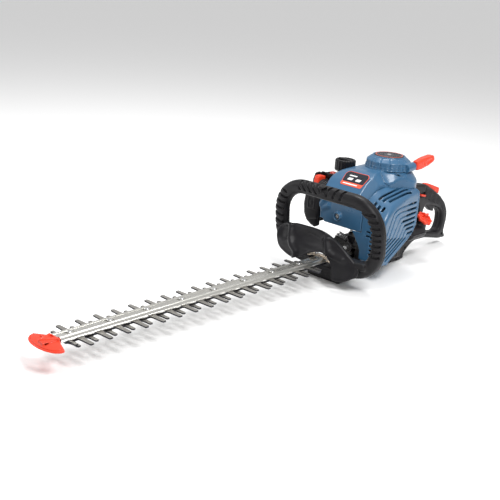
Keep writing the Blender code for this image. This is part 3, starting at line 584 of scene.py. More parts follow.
# Chevrons on the flank: how far forwards each is open, then its line from the rear down and
# forwards, as (y, z).
CHEVRONS = (
    (-15, (15.6, 141.5), (-50.8, 143), (-70, 141), (-83, 134.6), (-105, 91), (-124, 84)),
    (-18, (18.6, 129.8), (-48, 133), (-63, 131), (-72, 125.8), (-91, 88.4), (-124, 76)),
    (-20, (18.6, 120.2), (-27, 121), (-45, 121.5), (-54, 118), (-76.5, 85.6), (-124, 67.6)),
    (-34, (17.2, 110), (-36, 111.8), (-44, 109), (-61, 82.7), (-124, 58.8)),
    (-24, (16.9, 100.3), (-26, 101.2), (-32, 98.5), (-45, 79.4), (-124, 49.4)),
    (-16, (13.4, 91.2), (-17, 92), (-22, 89.5), (-29.5, 76.5), (-112, 45)),
    (-9, (11.7, 81.1), (-9.5, 81), (-13, 78), (-16, 74), (-97, 43)),
)


def exhaust_cover():
    """The vented cover over the exhaust: slotted crown, slotted flank and nested chevrons."""
    g = Grid((12, -125, 30), (88, 31, 188), 0.85)
    profile = [(-121.5, 41), (-121.5, 148), (-80, 182), (-41, 185), (-5, 183), (12, 174), (24, 163),
               (27.5, 152), (26, 95), (15, 80), (0, 71), (-88, 34), (-112, 36)]
    side_view = outline(g.y, g.z, profile)
    flank = wall(g, (84.5, -100, 0), (140, 20.5, 0))
    drop = 0.16 * np.maximum(-20 - g.y, 0) + 0.012 * np.maximum(-75 - g.y, 0) ** 2
    crown = (g.z - 177 - 0.47 * (44 - g.x) + drop) * 0.85
    face = wall(g, (13, -121.5, 0), (0.11, -1, 0))
    outer = meet(meet(flank, crown, 8), meet(side_view, face, 4), 3)
    open_side = 35.6 - g.x
    shell = both(outer, -(outer + WALL), open_side)
    lip = both(meet(flank - 0.9, crown - 0.9, 8), side_view, -side_view - 3.2, -(outer + 2),
               50 - g.x, -95 - g.y)
    skirt_line = outline(g.x, g.z, [(15.5, 93), (37, 93), (39, 48), (36.5, 52), (33, 64), (17, 90)])
    skirt = both(skirt_line, g.y + 118.6, face)
    tab = block(g, (44, 43, 166), (50, 54, 186), 1)
    shell = either(shell, lip, skirt, tab)
    drum_room = both(drum_shape(g) - 0.9, 131 - g.z)
    vents = [both(np.abs(g.x - x) - 2.4, start - g.y, g.y - end, 140 - g.z)
             for x, start, end in CROWN_SLOTS]
    grooves = []
    for open_to, *points in CHEVRONS:
        rear_z, fore_z = points[0][1], points[1][1]
        lane = segment(g.y, g.z, points[0], (open_to, rear_z + (fore_z - rear_z) * 0.5)) - 2.3
        vents.append(both(lane, 55 - g.x))
        line = path(g.y, g.z, points)
        grooves.append(both(line - 1.6, -(outer + 2.0), 55 - g.x))
        vents.append(both(line - 2.3, g.z - 91 + 0.19 * (g.y + 105), -118 - g.y, 55 - g.x))
    vents.append(both(segment(g.y, g.z, (3, 69), (-82, 37)) - 2.0, -112 - g.y, 55 - g.x))
    vents += [both(np.abs(g.z - z) - 1.6, np.abs(g.x - 51) - 5, g.y + 108) for z in (88.8, 97.5)]
    made = less(shell, drum_room, *vents, *grooves)
    mould("exhaust_cover_shell", g, made, "chassis", "blue_plastic", "muffler_cover")


def badge():
    """A generic badge on the sloping panel: dark plate, orange edge and band, plain bars."""
    along = Vector((0, 1, 1)).normalized()
    out = Vector((0, -1, 1)).normalized()
    foot = Vector((-0.5, -104.8, 173.2)) + out * 0.25

    def plate(name, points, low, high, rounding, material):
        shape = bmesh.new()
        ring = [foot + Vector((u, 0, 0)) + along * v + out * low
                for u, v in rounded(points, rounding)]
        raise_plate(shape, ring, out * (high - low))
        bmesh.ops.scale(shape, verts=shape.verts, vec=(MM, MM, MM))
        place(solid(name, shape), "chassis", "black_plastic", material)

    plate("badge_edge", [(-37, 0), (13, 0), (18, 28), (14.5, 33.5), (-32, 33.5), (-38, 27)],
          -0.2, 0.35, 3.5, "orange_plastic")
    plate("badge_plate", [(-36.2, 8.6), (13.6, 8.6), (16.8, 27.5), (13.5, 32.4), (-31.5, 32.4),
                          (-36.9, 26.5)], 0.0, 0.6, 2.5, "badge_dark")
    bars = (((-27, 22.5), (18, 2.6)), ((-27, 13), (11, 5.6)), ((-8, 13), (11, 5.6)),
            ((-32, 2.8), (34, 2.4)))
    for i, ((u, v), (length, height)) in enumerate(bars):
        lean, top = height * 0.45, v + height
        corners = [(u, v), (u + length, v), (u + length + lean, top), (u + lean, top)]
        plate(f"badge_bar_{i + 1}", corners, 0.3, 0.85, 0.8, "badge_pale")


def starter_cap():
    """Panelled cap over the starter, with a raised rim round its disc and the rope's guide."""
    g = Grid((-51, -51, 199), (60, 51, 229), 0.75)
    radius = np.hypot(g.x, g.y)
    seam = off_rays(g.x, g.y, 14)
    valley = np.clip(1 - seam / 0.085, 0, 1)
    side = radius - 44.6 + 2.4 * valley
    chamfer = ((radius - 44) * 7 + (g.z - 217.5) * 9) / 11.4 + 1.6 * valley
    body = meet(meet(meet(side, chamfer, 1.2), g.z - 224.6, 1.5), 201.4 - g.z, 1)
    flange = both(radius - 46.8 + 1.5 * (seam > 0.40), g.z - 204.2, 201.4 - g.z)
    blocks = both(radius - 46.4, np.abs(seam - 0.27) - 0.09, g.z - 209.5, 201.4 - g.z)
    collar = both(np.abs(radius - 31.6) - 1.8, g.z - 226.8, 218 - g.z)
    body = either(melt(body, collar, 1.0), flange, blocks)
    boss = bar(g, (47, -6, 209), (47, 19, 211), 8.6, flat=True)
    body = melt(soften(body, 1), soften(boss, 1), 3)
    hollow = both(radius - 39.5, g.z - 217, 190 - g.z)
    throat = bar(g, (47, 4, 210), (48, 40, 213), 4)
    seat = both(radius - 29.8, 224.2 - g.z)
    body = less(body, hollow, throat, seat)
    mould("starter_cap_ribbed", g, body, "chassis", "blue_plastic", "starter_cover")


def starter_disc():
    """The disc on the cap: rings of pits and marks, an orange ring and a bright hub."""
    g = Grid((-32, -32, 223), (32, 32, 229.5), 0.5)
    radius = np.hypot(g.x, g.y)
    plate = meet(radius - 29.4, g.z - 227.6, 1.2)
    rings = both(np.abs(np.abs(radius - 20) - 4) - 0.7, 227.0 - g.z)
    dots = off_rays(g.x, g.y, 24) * radius * 0.26
    pits = both(np.hypot(dots, radius - 12) - 1.1, 226.8 - g.z)
    marks = both(np.hypot(dots, (radius - 20) * 0.7) - 1.3, 226.9 - g.z)
    plate = both(less(plate, rings, pits, marks), 224.5 - g.z)
    place(skin("starter_disc_plate", g, plate), "chassis", "black_plastic", "badge_dark",
          "starter_disc")
    ring_profile = [(26.2, 227.4), (26.2, 227.9), (27.2, 227.9), (27.2, 227.4)]
    place(turned("starter_disc_ring", ring_profile, 96), "chassis", "orange_plastic",
          "orange_plastic")
    hub_profile = [(4.2, 227.4), (4.2, 228.2), (3.4, 228.5), (0.05, 228.5), (0.05, 227.4)]
    place(turned("starter_disc_hub", hub_profile, 48), "chassis", "plated_steel", "bright_steel")


def starter_grip():
    """The pull grip: a bent paddle, dished on top and hollowed at the sides."""
    g = Grid((38, 17, 200), (60, 88, 232), 0.7)
    side = [(20.5, 206), (21.5, 221), (45, 226.5), (72, 229.3), (80, 228), (84.5, 220), (80, 214),
            (62, 208), (38, 203.5), (26, 203)]
    paddle = meet(outline(g.y, g.z, side), np.abs(g.x - 49) - 7.6, 5)
    dish = bar(g, (49, 34, 247), (49, 78, 251), 22.5)
    hollow = bar(g, (63, 45, 216), (63, 70, 220), 7.5)
    far_hollow = bar(g, (35, 45, 216), (35, 70, 220), 7.5)
    cap_room = np.hypot(g.x, g.y) - 48.8
    button = bar(g, (55.5, 50, 217.5), (57.2, 50, 217.5), 4.2, flat=True)
    paddle = less(paddle, dish, hollow, far_hollow, cap_room)
    mould("starter_grip_paddle", g, soften(melt(paddle, button, 1), 1),
          "starter_grip", "orange_plastic", "starter_grip")


def starter_line():
    """The starter rope between its guide and the grip."""
    start, end = Vector((47, 8, 210.6)), Vector((48.4, 27, 213.4))
    span = end - start
    side = span.cross(Vector((0, 0, 1))).normalized()
    up = side.cross(span).normalized()
    steps, sides = 60, 12
    shape = bmesh.new()
    rings = []
    for i in range(steps + 1):
        middle = start + span * (i / steps)
        ring = []
        for j in range(sides):
            angle = 2 * math.pi * j / sides
            reach = 1.6 + 0.22 * math.cos(3 * angle + 2 * math.pi * i / 12)
            ring.append(shape.verts.new((middle + side * reach * math.cos(angle)
                                         + up * reach * math.sin(angle)) * MM))
        rings.append(ring)
    join_rings(shape, rings)
    made = solid("starter_line", shape)
    made.data.shade_smooth()
    made.data.materials.append(MATERIAL["rope_fibre"])
    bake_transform(made)


# ---------------------------------------------------------------- fuel and air side

FUEL_NECK = (-88.0, -25.0)
TANK_TOP = 172.0


def fuel_tank():
    """The blown fuel tank with its threaded neck."""
    top = TANK_TOP
    g = Grid((-116, -56, 96), (-62, 34, 190), 1.2)
    tank = block(g, (-112, -51.6, 99), (-66.4, 30, top), 9)
    tank = meet(tank, wall(g, (0, 24, 166), (0, 1, 1)), 6)
    seam = both(tank - 1.3, np.abs(g.z - 138) - 1.2)
    neck = disc(g, FUEL_NECK, 15, top - 8, top + 13)
    thread = both(disc(g, FUEL_NECK, 15.8, top + 3, top + 11), stripes(g.z - top, 4, 0.7))
    vessel = either(melt(tank, neck, 3), seam, thread)
    inside = both(tank + 2.6, g.z - top + 2)
    vessel = less(soften(vessel, 1), inside, disc(g, FUEL_NECK, 12, top - 14, top + 20))
    mould("fuel_tank_blown", g, vessel, "chassis", "tank_plastic", "fuel_tank")


def fuel_cap():
    """The fluted cap with its finger bar."""
    x, y = FUEL_NECK
    g = Grid((-112, -49, 177), (-64, -1, 208), 0.8)
    radius = np.hypot(g.x - x, g.y - y)
    valley = np.clip(1 - off_rays(g.x - x, g.y - y, 18) / 0.28, 0, 1)
    side = radius - 21.5 + 1.5 * valley
    cap = meet(meet(side, g.z - 203.4, 4), 179.5 - g.z, 2)
    finger_bar = block(g, (x - 17, y - 3.4, 196), (x + 17, y + 3.4, 204.6), 1.4)
    pockets = both(radius - 15.5, 197.5 - g.z, 4.2 - np.abs(g.y - y))
    cap = either(less(soften(cap, 1), pockets), both(finger_bar, radius - 18))
    cap = less(cap, both(radius - 16.4, g.z - 192))
    mould("fuel_cap_fluted", g, soften(cap, 1), "fuel_cap", "black_plastic", "fuel_cap")


PRIMER_PLACE = (-79, -76)


def air_cleaner():
    """The air cleaner's cover, with a raised square and a knob."""
    g = Grid((-116, -126, 68), (-60, -49, 187), 1.1)
    plate_side = [(-104, 148), (-69.5, 148), (-71.5, 80), (-80, 75), (-90, 78), (-102, 85),
                  (-110, 99), (-112.5, 120), (-110, 140)]
    slab = meet(outline(g.x, g.z, plate_side), np.abs(g.y + 87) - 35, 6)
    shell = less(slab, both(-90.6 - g.x, -112.6 - g.y))
    hollow = both(slab + 3.2, g.x + 90)
    frame_line = np.abs(both(np.abs(g.x + 91) - 7.6, np.abs(g.z - 125) - 12)) - 0.8
    square = both(frame_line, -122.9 - g.y, g.y + 120)
    knob = both(np.hypot(g.x + 91, g.z - 125) - 3.2, -122.9 - g.y, g.y + 120)
    step = both(np.abs(g.z - 92 - 0.25 * (g.x + 90)) - 0.9, g.y + 120.8)
    shell = less(either(less(soften(shell, 1), hollow), square, knob), step)
    mould("air_cleaner_cover", g, shell, "chassis", "black_plastic", "air_filter_cover")


def carburettor_housing():
    """The finned case behind the cover, with the choke's cowl and the primer's collar."""
    g = Grid((-116, -126, 68), (-60, -49, 187), 1.1)
    case = block(g, (-90, -108, 92), (-66.4, -54, 148), 3)
    fins = block(g, (-90, -111, 90), (-64.5, -60, 149), 2)
    fins = both(fins, np.abs((g.z - 90) % 8.5 - 4.2) - 1.3)
    seat = disc(g, PRIMER_PLACE, 11, 140, 171)
    collar = disc(g, PRIMER_PLACE, 12.6, 172, 182.5)
    arc_radius = np.hypot(g.y + 98, g.z - 150)
    ribs = both(np.abs(arc_radius - 18.5) - 3.0, stripes(g.x + 86.8, 5.6, 1.4),
                -85.5 - g.x, g.x + 66, 148 - g.z)
    cowl = both(np.abs(arc_radius - 17) - 1.8, -85.6 - g.x, g.x + 66.2, 146 - g.z)
    lug = block(g, (-86.2, -111, 144), (-82, -101, 160), 1)
    far_side = [(-109, 146), (-108, 170), (-102, 181.5), (-90, 182.5), (-80, 178), (-78, 146)]
    far_cheek = both(outline(g.y, g.z, far_side), np.abs(g.x + 101.8) - 1.8)
    near_side = [(-107, 146), (-105, 158), (-96, 168), (-86, 172), (-78, 172), (-78, 146)]
    near_cheek = both(outline(g.y, g.z, near_side), np.abs(g.x + 83.8) - 2.0)
    bridge = block(g, (-103, -83.5, 146), (-83, -79.5, 182), 1)
    body = either(melt(case, fins, 1.5), melt(seat, collar, 2), ribs, cowl, lug, far_cheek,
                  near_cheek, bridge)
    well = block(g, (-96, -102, 98), (-70, -60, 142))
    bulb_well = disc(g, PRIMER_PLACE, 9.4, 170, 190)
    body = less(soften(body, 1), well, bulb_well)
    mould("carburettor_housing", g, body, "chassis", "black_plastic", "air_filter_case")


def primer():
    """The primer's soft dome."""
    g = Grid((-91, -88, 172), (-67, -64, 190), 0.6)
    radius = np.hypot(g.x - PRIMER_PLACE[0], g.y - PRIMER_PLACE[1])
    dome = np.sqrt(radius ** 2 + ((g.z - 178) * 0.95) ** 2) - 7.5
    lip = both(radius - 7.9, np.abs(g.z - 177.6) - 0.9)
    mould("primer_dome", g, melt(both(dome, 176 - g.z), lip, 1),
          "primer_bulb", "bulb_rubber", "primer_bulb")


def choke():
    """The choke's tab, grooved on top."""
    g = Grid((-103, -116, 148), (-83, -82, 182), 0.7)
    side = [(-110, 151), (-103, 151), (-99, 160), (-86, 165), (-87, 175.5), (-97, 178.5),
            (-109, 178), (-112, 165)]
    lever = meet(outline(g.y, g.z, side), np.abs(g.x + 93) - 5.8, 2.5)
    grooves = both(stripes(g.y + 112, 5, 0.8), 175.3 - g.z)
    mould("choke_tab", g, less(soften(lever, 1), grooves),
          "choke_lever", "orange_plastic", "choke_lever")


# ---------------------------------------------------------------- handles and guard

LOOP_HALF = 117.0                # from the middle to the tube's own middle line
LOOP_TOP, LOOP_BOTTOM = 172.0, 33.0
LOOP_CORNER = 58.0
LOOP_TUBE = 14.0
LOOP_Y = -177.0
LOOP_LEAN = math.radians(6)


def front_loop():
    """The loop handle with its finger grooves, on the foot that the bar passes through."""
    g = Grid((-134, -204, -1), (134, -133, 190), 1.1)
    middle, half = (LOOP_TOP + LOOP_BOTTOM) / 2, (LOOP_TOP - LOOP_BOTTOM) / 2
    across = np.abs(g.x) - (LOOP_HALF - LOOP_CORNER)
    upright = np.abs(g.z - middle) - (half - LOOP_CORNER)
    ring = np.hypot(np.maximum(across, 0), np.maximum(upright, 0))
    ring = ring + np.minimum(np.maximum(across, upright), 0) - LOOP_CORNER
    lean = (g.y - LOOP_Y + (g.z - 100) * math.tan(LOOP_LEAN)) * math.cos(LOOP_LEAN)
    tube = np.sqrt(ring ** 2 + 0.72 * lean ** 2 + 0.0016 * lean ** 4) - LOOP_TUBE
    foot = block(g, (-40, -182, 0), (40, -136, 29), 5)
    foot = meet(foot, wall(g, (40, -182, 0), (0.8, -0.5, -0.5)) - 6, 2)
    shelf = block(g, (46, -196, 46), (104, -172, 60), 5)
    body = soften(melt(melt(tube, foot, 9), shelf, 6), 1)
    layer = -(tube + 3.8)

    def lines(value, first, spacing):
        """Distance to the nearest of some evenly spaced levels."""
        return stripes(value - first + spacing / 2, spacing, 0)

    def finger_grooves(side, level, *limits):
        """Grooves round one upright, side -1 or 1, which get shallow and end towards the front."""
        reach = side * 0.745 * ring + 0.667 * lean
        floor = -(tube + 1.2 + 3.2 * np.clip((reach + 14) / 5, 0, 1))
        return both(np.hypot(level, np.maximum(reach - 0.5, 0)) - 2.8, floor, *limits)

    left = finger_grooves(-1, lines(g.z + 0.38 * (g.x + 133), 85.2, 14.2), 78 - g.z, g.z - 160,
                          g.x + 95)
    right = finger_grooves(1, lines(g.z, 78.6, 11.2), 73 - g.z, g.z - 161, 70 - g.x)
    slash = lines(g.x + g.z, 119.5, 13.5)
    top_left = both(slash * 0.75 - 2.3, layer, lean - 4, -66 - g.x, g.x + 14, 168 - g.z)
    slash = lines(g.x - 0.33 * (g.z - 180), 5, 16.5)
    top_right = both(slash - 2.6, layer, lean - 4, 0 - g.x, g.x - 46, 168 - g.z)
    dimple = both(np.abs(g.x + 4) * 0.8 + np.abs(g.z - 178) - 7.5, -(tube + 4), lean)
    split = both(np.abs(lean - 1.5) - 0.6, -(tube + 0.9))
    body = less(body, left, right, top_left, top_right, dimple, split)
    blade_way = block(g, (-35.5, -206, 28.6), (35.5, -128, 53.5))
    body = both(less(body, blade_way), -g.z)
    mould("front_loop_handle", g, body, "chassis", "handle_rubber", "front_handle")


# The guard from left to right: x, its lower and upper edge, and how far it bulges forwards.
GUARD_COLUMNS = ((-106, 68, 82, 0), (-99, 55, 89, 7), (-87, 47, 96, 13), (-63, 40, 101, 18),
                 (-33, 36, 102.5, 20), (-1, 36, 102.5, 20), (20, 34, 98, 18), (46, 16, 85, 13),
                 (66, 18, 69, 8), (80, 28, 58, 3), (92, 34, 50, 1))
GUARD_MOUTH = ((-47, 4), (-49, 38), (-38, 42), (-23, 48), (-10, 58), (8, 65), (20, 65), (31, 58),
               (40, 44), (44, 4))
# Ridges, as a line's points in (x, z) and a height, and bowls, as x, z, half sizes and depth.
GUARD_RIDGES = ((((-70, 97), (-63, 76), (-56, 64), (-43, 53), (-42, 30)), 7.0),
                (((18, 90), (28, 70), (42, 63), (58, 60)), 5.5))
GUARD_BOWLS = ((-85, 77, 15, 15, 9.0), (-20, 80, 34, 15, 8.5))


def hand_guard():
    """A scooped shield with a rolled rim, two bowls and the ridges between them."""
    g = Grid((-113, -238, 10), (101, -178, 110), 1.1)
    places = [column[0] for column in GUARD_COLUMNS]
    low, high, depth = (smooth_curve(g.x, places, [column[i] for column in GUARD_COLUMNS])
                        for i in (1, 2, 3))
    share = np.clip((g.z - low) / (high - low), 0, 1.1)
    front = -199 - depth * (1 - 0.75 * share ** 2) - (g.z - 60) * 0.1 + 8 * share ** 2
    for points, rise in GUARD_RIDGES:
        front = front - rise * np.exp(-(path(g.x, g.z, points) / 5.5) ** 2)
    for x, z, wide, tall, sink in GUARD_BOWLS:
        front = front + sink * np.exp(-(((g.x - x) / wide) ** 2 + ((g.z - z) / tall) ** 2) ** 2)
    steep = np.sqrt(1 + np.gradient(front, g.cell, axis=0) ** 2
                    + np.gradient(front, g.cell, axis=2) ** 2)
    sheet = (g.y - front) / steep
    edge = [(x, z) for x, _, z, _ in GUARD_COLUMNS] + [(x, z) for x, z, _, _ in GUARD_COLUMNS[::-1]]
    shape = rounded_outline(g.x, g.z, edge, 12)
    guard = both(np.abs(sheet) - 1.7, shape)
    rim = np.hypot(sheet, shape + 1.8) - 2.9
    guard = melt(guard, rim, 2)
    mouth = rounded_outline(g.x, g.z, GUARD_MOUTH, 6)
    lip = np.hypot(sheet, mouth - 1.6) - 2.4
    guard = less(melt(guard, both(lip, shape), 1.5), mouth)
    mould("hand_guard_shield", g, soften(guard, 1), "chassis", "black_plastic", "hand_guard")


def saddle():
    """The plated clamp that holds the bar, with its two screws."""
    g = Grid((-34, -203, 41), (37, -183, 60), 0.6)
    side = [(-30, 47), (-21, 47), (-17.5, 49.4), (17.5, 49.4), (20.5, 45.3), (33, 43.2), (33, 45.6),
            (22, 47.8), (18.6, 52), (-18.6, 52), (-21.6, 49.6), (-30, 49.6)]
    strap = meet(outline(g.x, g.z, side), np.abs(g.y + 193) - 7, 1)
    notch = both(np.abs(g.x - 7) - 3.5, g.y + 196)
    rib = bar(g, (-16, -193, 51.2), (16, -193, 51.2), 1.8)
    strap = less(melt(strap, rib, 1.2), notch)
    mould("bar_saddle", g, strap, "chassis", "plated_steel", "bar_bracket")
    screw_head("saddle_screw_1", (-11, -192, 52), (0, 0, 1), 3.2)
    screw_head("saddle_screw_2", (12, -190, 52), (0, 0, 1), 3.2)


def rear_handle():
    """The D handle: ribbed grip, sunk web, split line, bosses and the controls' ways."""
    g = Grid((-14.5, 63, -1), (14.5, 248, 163), 1.05)
    side = [(66.4, 150), (72, 160), (111, 153), (142, 149), (181, 129), (206, 115), (229, 96),
            (242, 76), (244.5, 58), (238, 28), (246, 19), (246, 12), (222, 13), (190, 20),
            (163, 25.5), (118, 26), (96, 14.5), (80, 1), (66.4, 1)]
    opening = [(146, 101), (165, 99), (192, 92), (211, 84), (222, 70), (224, 52), (217, 36),
               (208, 32), (168, 38), (152, 44), (142, 60), (140, 88)]
    body = meet(rounded_outline(g.y, g.z, side, 8), np.abs(g.x) - 11.9, 7)
    body = meet(body, -rounded_outline(g.y, g.z, opening, 7), 7)
    grip = outline(g.y, g.z, [(136, 144), (184, 124), (214, 104), (228, 84), (222, 78), (204, 93),
                              (176, 104), (140, 118)])
    knurl = both(stripes(g.y + 0.35 * g.z, 5, 0.9), grip + 1.0, 10.6 - np.abs(g.x))
    panel = both(np.abs(grip) - 0.8, 10.8 - np.abs(g.x))
    web = both(outline(g.y, g.z, [(74, 120), (118, 112), (130, 64), (116, 36), (84, 30), (74, 40)]),
               9.9 - np.abs(g.x))
    split = both(np.abs(g.x) - 0.5, -(body + 1.0))
    places = ((84, 140), (84, 18), (228, 24), (132, 52))
    boss = either(*[bar(g, (-11.9, y, z), (11.9, y, z), 4.6, flat=True) for y, z in places])
    sockets = either(*[both(np.hypot(g.y - y, g.z - z) - 2.8, 9.6 - np.abs(g.x))
                       for y, z in places])
    body = less(soften(body, 1), knurl, panel, web, split)
    control_slot = both(outline(g.y, g.z, [(140, 170), (209, 152), (197, 66), (140, 78)]),
                        np.abs(g.x) - 7.1)
    switch_way = block(g, (7.6, 111.6, 123.2), (26, 138.4, 133.8))
    body = less(either(body, boss), sockets, control_slot, switch_way)
    mould("rear_d_handle", g, body, "chassis", "black_plastic", "rear_handle")


def lockout():
    """The lockout lever on top of the grip."""
    g = Grid((-8, 140, 114), (8, 208, 153), 0.7)
    side = [(144, 129), (146, 149), (160, 147), (203, 132.5), (204, 119.5), (155, 126.5)]
    lock = meet(outline(g.y, g.z, side), np.abs(g.x) - 6.2, 2)
    treads = both(stripes(g.y - 160, 5, 0.7), -(lock + 1.1))
    mould("lockout_lever", g, soften(less(lock, treads), 1),
          "throttle_lockout", "orange_plastic", "throttle_lockout")


def trigger():
    """The throttle trigger under the grip."""
    g = Grid((-8, 140, 76), (8, 199, 125), 0.7)
    side = [(143.5, 108), (145, 121), (160, 121), (194, 105), (190, 80), (178, 84), (160, 97)]
    finger = meet(outline(g.y, g.z, side), np.abs(g.x) - 6.0, 3.5)
    mould("trigger_lever", g, soften(finger, 1),
          "throttle_trigger", "black_plastic", "throttle_trigger")


def stop_switch():
    """The stop switch's ridged slide, on the handle's side."""
    g = Grid((6, 112, 122), (21, 132, 135), 0.5)
    side = [(113, 128.3), (113.5, 132.6), (131, 128.6), (130.5, 124.4)]
    slide = meet(outline(g.y, g.z, side), np.abs(g.x - 13.5) - 4.9, 1.2)
    ridges = both(stripes(g.y - 115, 3.5, 0.5), 17.8 - g.x)
    mould("stop_slide", g, less(slide, ridges), "stop_switch", "orange_plastic", "stop_switch")


OIL_AXIS = np.array((0.5708, 0, 0.8211))
OIL_FOOT = np.array((28.6, 100.6, 70.5))        # where the neck leaves the tank


def oil_tank():
    """The oil tank beside the handle."""
    g = Grid((13, 44, 32), (58, 118, 92), 0.95)
    axis, foot = OIL_AXIS, OIL_FOOT
    tank = meet(block(g, (16.5, 48, 42), (48, 108, 76), 10),
                wall(g, (48, 0, 62), (0.8, 0, 0.6)), 8)
    tank = meet(tank, wall(g, (48, 0, 52), (0.6, 0, -0.8)), 6)
    neck = bar(g, foot - axis * 8, foot + axis * 15.5, 12.5, flat=True)
    body = melt(tank, neck, 5)
    seam = both(tank - 1.0, np.abs(g.z - 58) - 1)
    body = less(either(soften(body, 1), seam), bar(g, foot - axis * 10, foot + axis * 22, 6.5))
    body = both(body, 15.4 - g.x)
    mould("oil_tank_moulded", g, body, "chassis", "black_plastic", "oil_tank")


def oil_cap():
    """The scalloped oil cap, with spokes and a tab in its tray."""
    g = Grid((17, 78, 62), (66, 123, 108), 0.65)
    axis = OIL_AXIS
    base = OIL_FOOT + axis * 16
    rel = (g.x - base[0], g.y - base[1], g.z - base[2])
    height = rel[0] * axis[0] + rel[2] * axis[2]
    across = rel[0] * axis[2] - rel[2] * axis[0]
    radius = np.hypot(rel[1], across)
    lobes = np.cos(np.arctan2(across, rel[1]) * 8)
    rim = meet(radius - 16.9 - 1.1 * lobes, np.abs(height - 4) - 3, 1.5)
    tray = both(radius - 13.4, 3.4 - height)
    tab = meet(np.abs(across + 4) - 2.2, np.abs(height - 8) - 5.2, 1.2)
    tab = meet(tab, np.abs(rel[1] - 5) - 7.5, 2)
    spokes = both(np.abs(np.mod(np.arctan2(across, rel[1]) / math.pi * 3, 1) - 0.5) * radius - 1.6,
                  radius - 14, np.abs(height - 3.6) - 1.6)
    holes = both(np.hypot(across - 6.5, rel[1] + 6.0) - 2.6, 1.0 - height)
    plug = both(radius - 5.8, -8 - height, height - 3)
    cap = either(less(rim, tray, holes), spokes, tab, plug)
    mould("oil_cap_scalloped", g, soften(cap, 1), "oil_cap", "orange_plastic", "oil_cap")


def gearcase():
    """The cast case under the engine, with ribs, a parting flange and its screws' bosses."""
    g = Grid((-40, -118, 10), (42, 44, 94), 1.3)
    case = block(g, (-33.8, -110, 12.4), (33.8, 38, 59.8), 4)
    lid = block(g, (-33.8, -110, 60.1), (33.8, 38, 66), 2)
    flange = block(g, (-36.5, -112, 55), (36.5, 40, 62), 2)
    ribs = both(block(g, (-35.6, -111.6, 16), (35.6, 39.6, 58), 2),
                stripes(g.y + 100, 16, 1.4))
    tower = disc(g, (0, 0), 34, 60, 91.7)
    body = either(melt(case, flange, 2), ribs, lid, tower)
    for x in (-30, 30):
        for y in (-104, -60, -12, 32):
            body = melt(body, disc(g, (x, y), 5, 50, 68), 2)
    rooms = (block(g, (-31, -100, 21), (31, 22, 59)), block(g, (-19, -120, 31), (19, -90, 53)),
             disc(g, (0, 0), 29.5, 66.6, 96), disc(g, (0, 0), 10.3, 54, 70),
             disc(g, (0, -36), 9.3, 54, 70), disc(g, (0, -36), 5.3, 14, 26))
    place(skin("gear_casting", g, less(soften(body, 1), *rooms)), "chassis", "cast_metal",
          "painted_casting", "gearbox_housing", "gearbox_cover")
    for i, (x, y) in enumerate([(x, y) for x in (-30, 30) for y in (-104, -60)]):
        screw_head(f"case_screw_{i + 1}", (x, y, 68), (0, 0, 1), 3.0)


def keel():
    """The frame under the case, with pads and slots along it."""
    g = Grid((-26, -139, -1), (26, 70, 16), 1.2)
    rail = block(g, (-22, -135.6, 0), (22, 66, 12), 3)
    pads = both(block(g, (-23.5, -134, 0), (23.5, 64, 7), 2), stripes(g.y + 130, 32, 7))
    slots = both(block(g, (-14, -120, 8), (14, 52, 20), 2), stripes(g.y + 120, 24, 8))
    place(skin("keel_moulded", g, both(less(either(rail, pads), slots), -g.z)), "chassis",
          "black_plastic", "black_plastic", "base_frame")


def linkage():
    """The throttle spring, its rod and a clamp screw, seen through the gap under the panel."""
    curve = bpy.data.curves.new("throttle_spring", "CURVE")
    curve.dimensions = "3D"
    curve.bevel_depth = 1.1 * MM
    curve.bevel_resolution = 3
    curve.use_fill_caps = True
    turns, steps, coil = 5, 16, 4.4
    spline = curve.splines.new("POLY")
    spline.points.add(turns * steps)
    for i, point in enumerate(spline.points):
        angle = 2 * math.pi * i / steps
        share = i / (turns * steps)
        point.co = ((-18 + 20 * share) * MM, (-116 + coil * math.sin(angle)) * MM,
                    (76 - 4 * share + coil * math.cos(angle)) * MM, 1)
    made = new_object("throttle_spring", curve)
    made.data.materials.append(MATERIAL["dark_steel"])
    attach(made, "chassis")
    g = Grid((-44, -126, 40), (20, -100, 96), 0.8)
    hook = chain(g, [(-2, -115, 75), (4, -116, 70), (6, -116, 60)], 1.6)
    lever = meet(outline(g.x, g.z, [(-4, 46), (13, 46), (16, 60), (6, 66), (-14, 60), (-14, 54)]),
                 np.abs(g.y + 115) - 3.5, 2)
    clamp = bar(g, (4, -122, 54), (4, -110, 54), 6.5, flat=True)
    plate = block(g, (-8, -111, 58), (15, -104, 76), 4)
    body = melt(melt(lever, clamp, 1.5), hook, 2)
    place(skin("throttle_link", g, soften(body, 1)), "chassis", "dark_steel", "painted_casting")
    place(skin("throttle_plate", g, plate), "chassis", "dark_steel", "black_plastic")
    screw_head("link_screw", (4, -122, 54), (0, -1, 0), 3.6)


# ---------------------------------------------------------------- cutting gear

PITCH = 35.0
TOOTH_COUNT = 17
FIRST_TOOTH = -807.0
STROKE = 8.75
BOLT_PLACES = [-778 + 75 * i for i in range(8)]
BOLT_X = -4.0
# The blade's steel finish, then a near-black one that paints shade on its sides.
BLADE_STEEL_AND_SIDE_SHADE = ("blade_steel", "blade_side_shade")
BLADE_FRONT = -797
BLADE_REAR = -62
STRIP = 12                       # half the width of a blade between its teeth
SHANK = 8                        # half the width of its rear end
UPPER_LEVELS = (38.4, 40.8)
LOWER_LEVELS = (35.6, 38.0)
BOLT_ROOM = 3.3                  # half the width of the slots for the bolts
STUB_REACH = 31.0                # the upper blade's first tooth is a short one


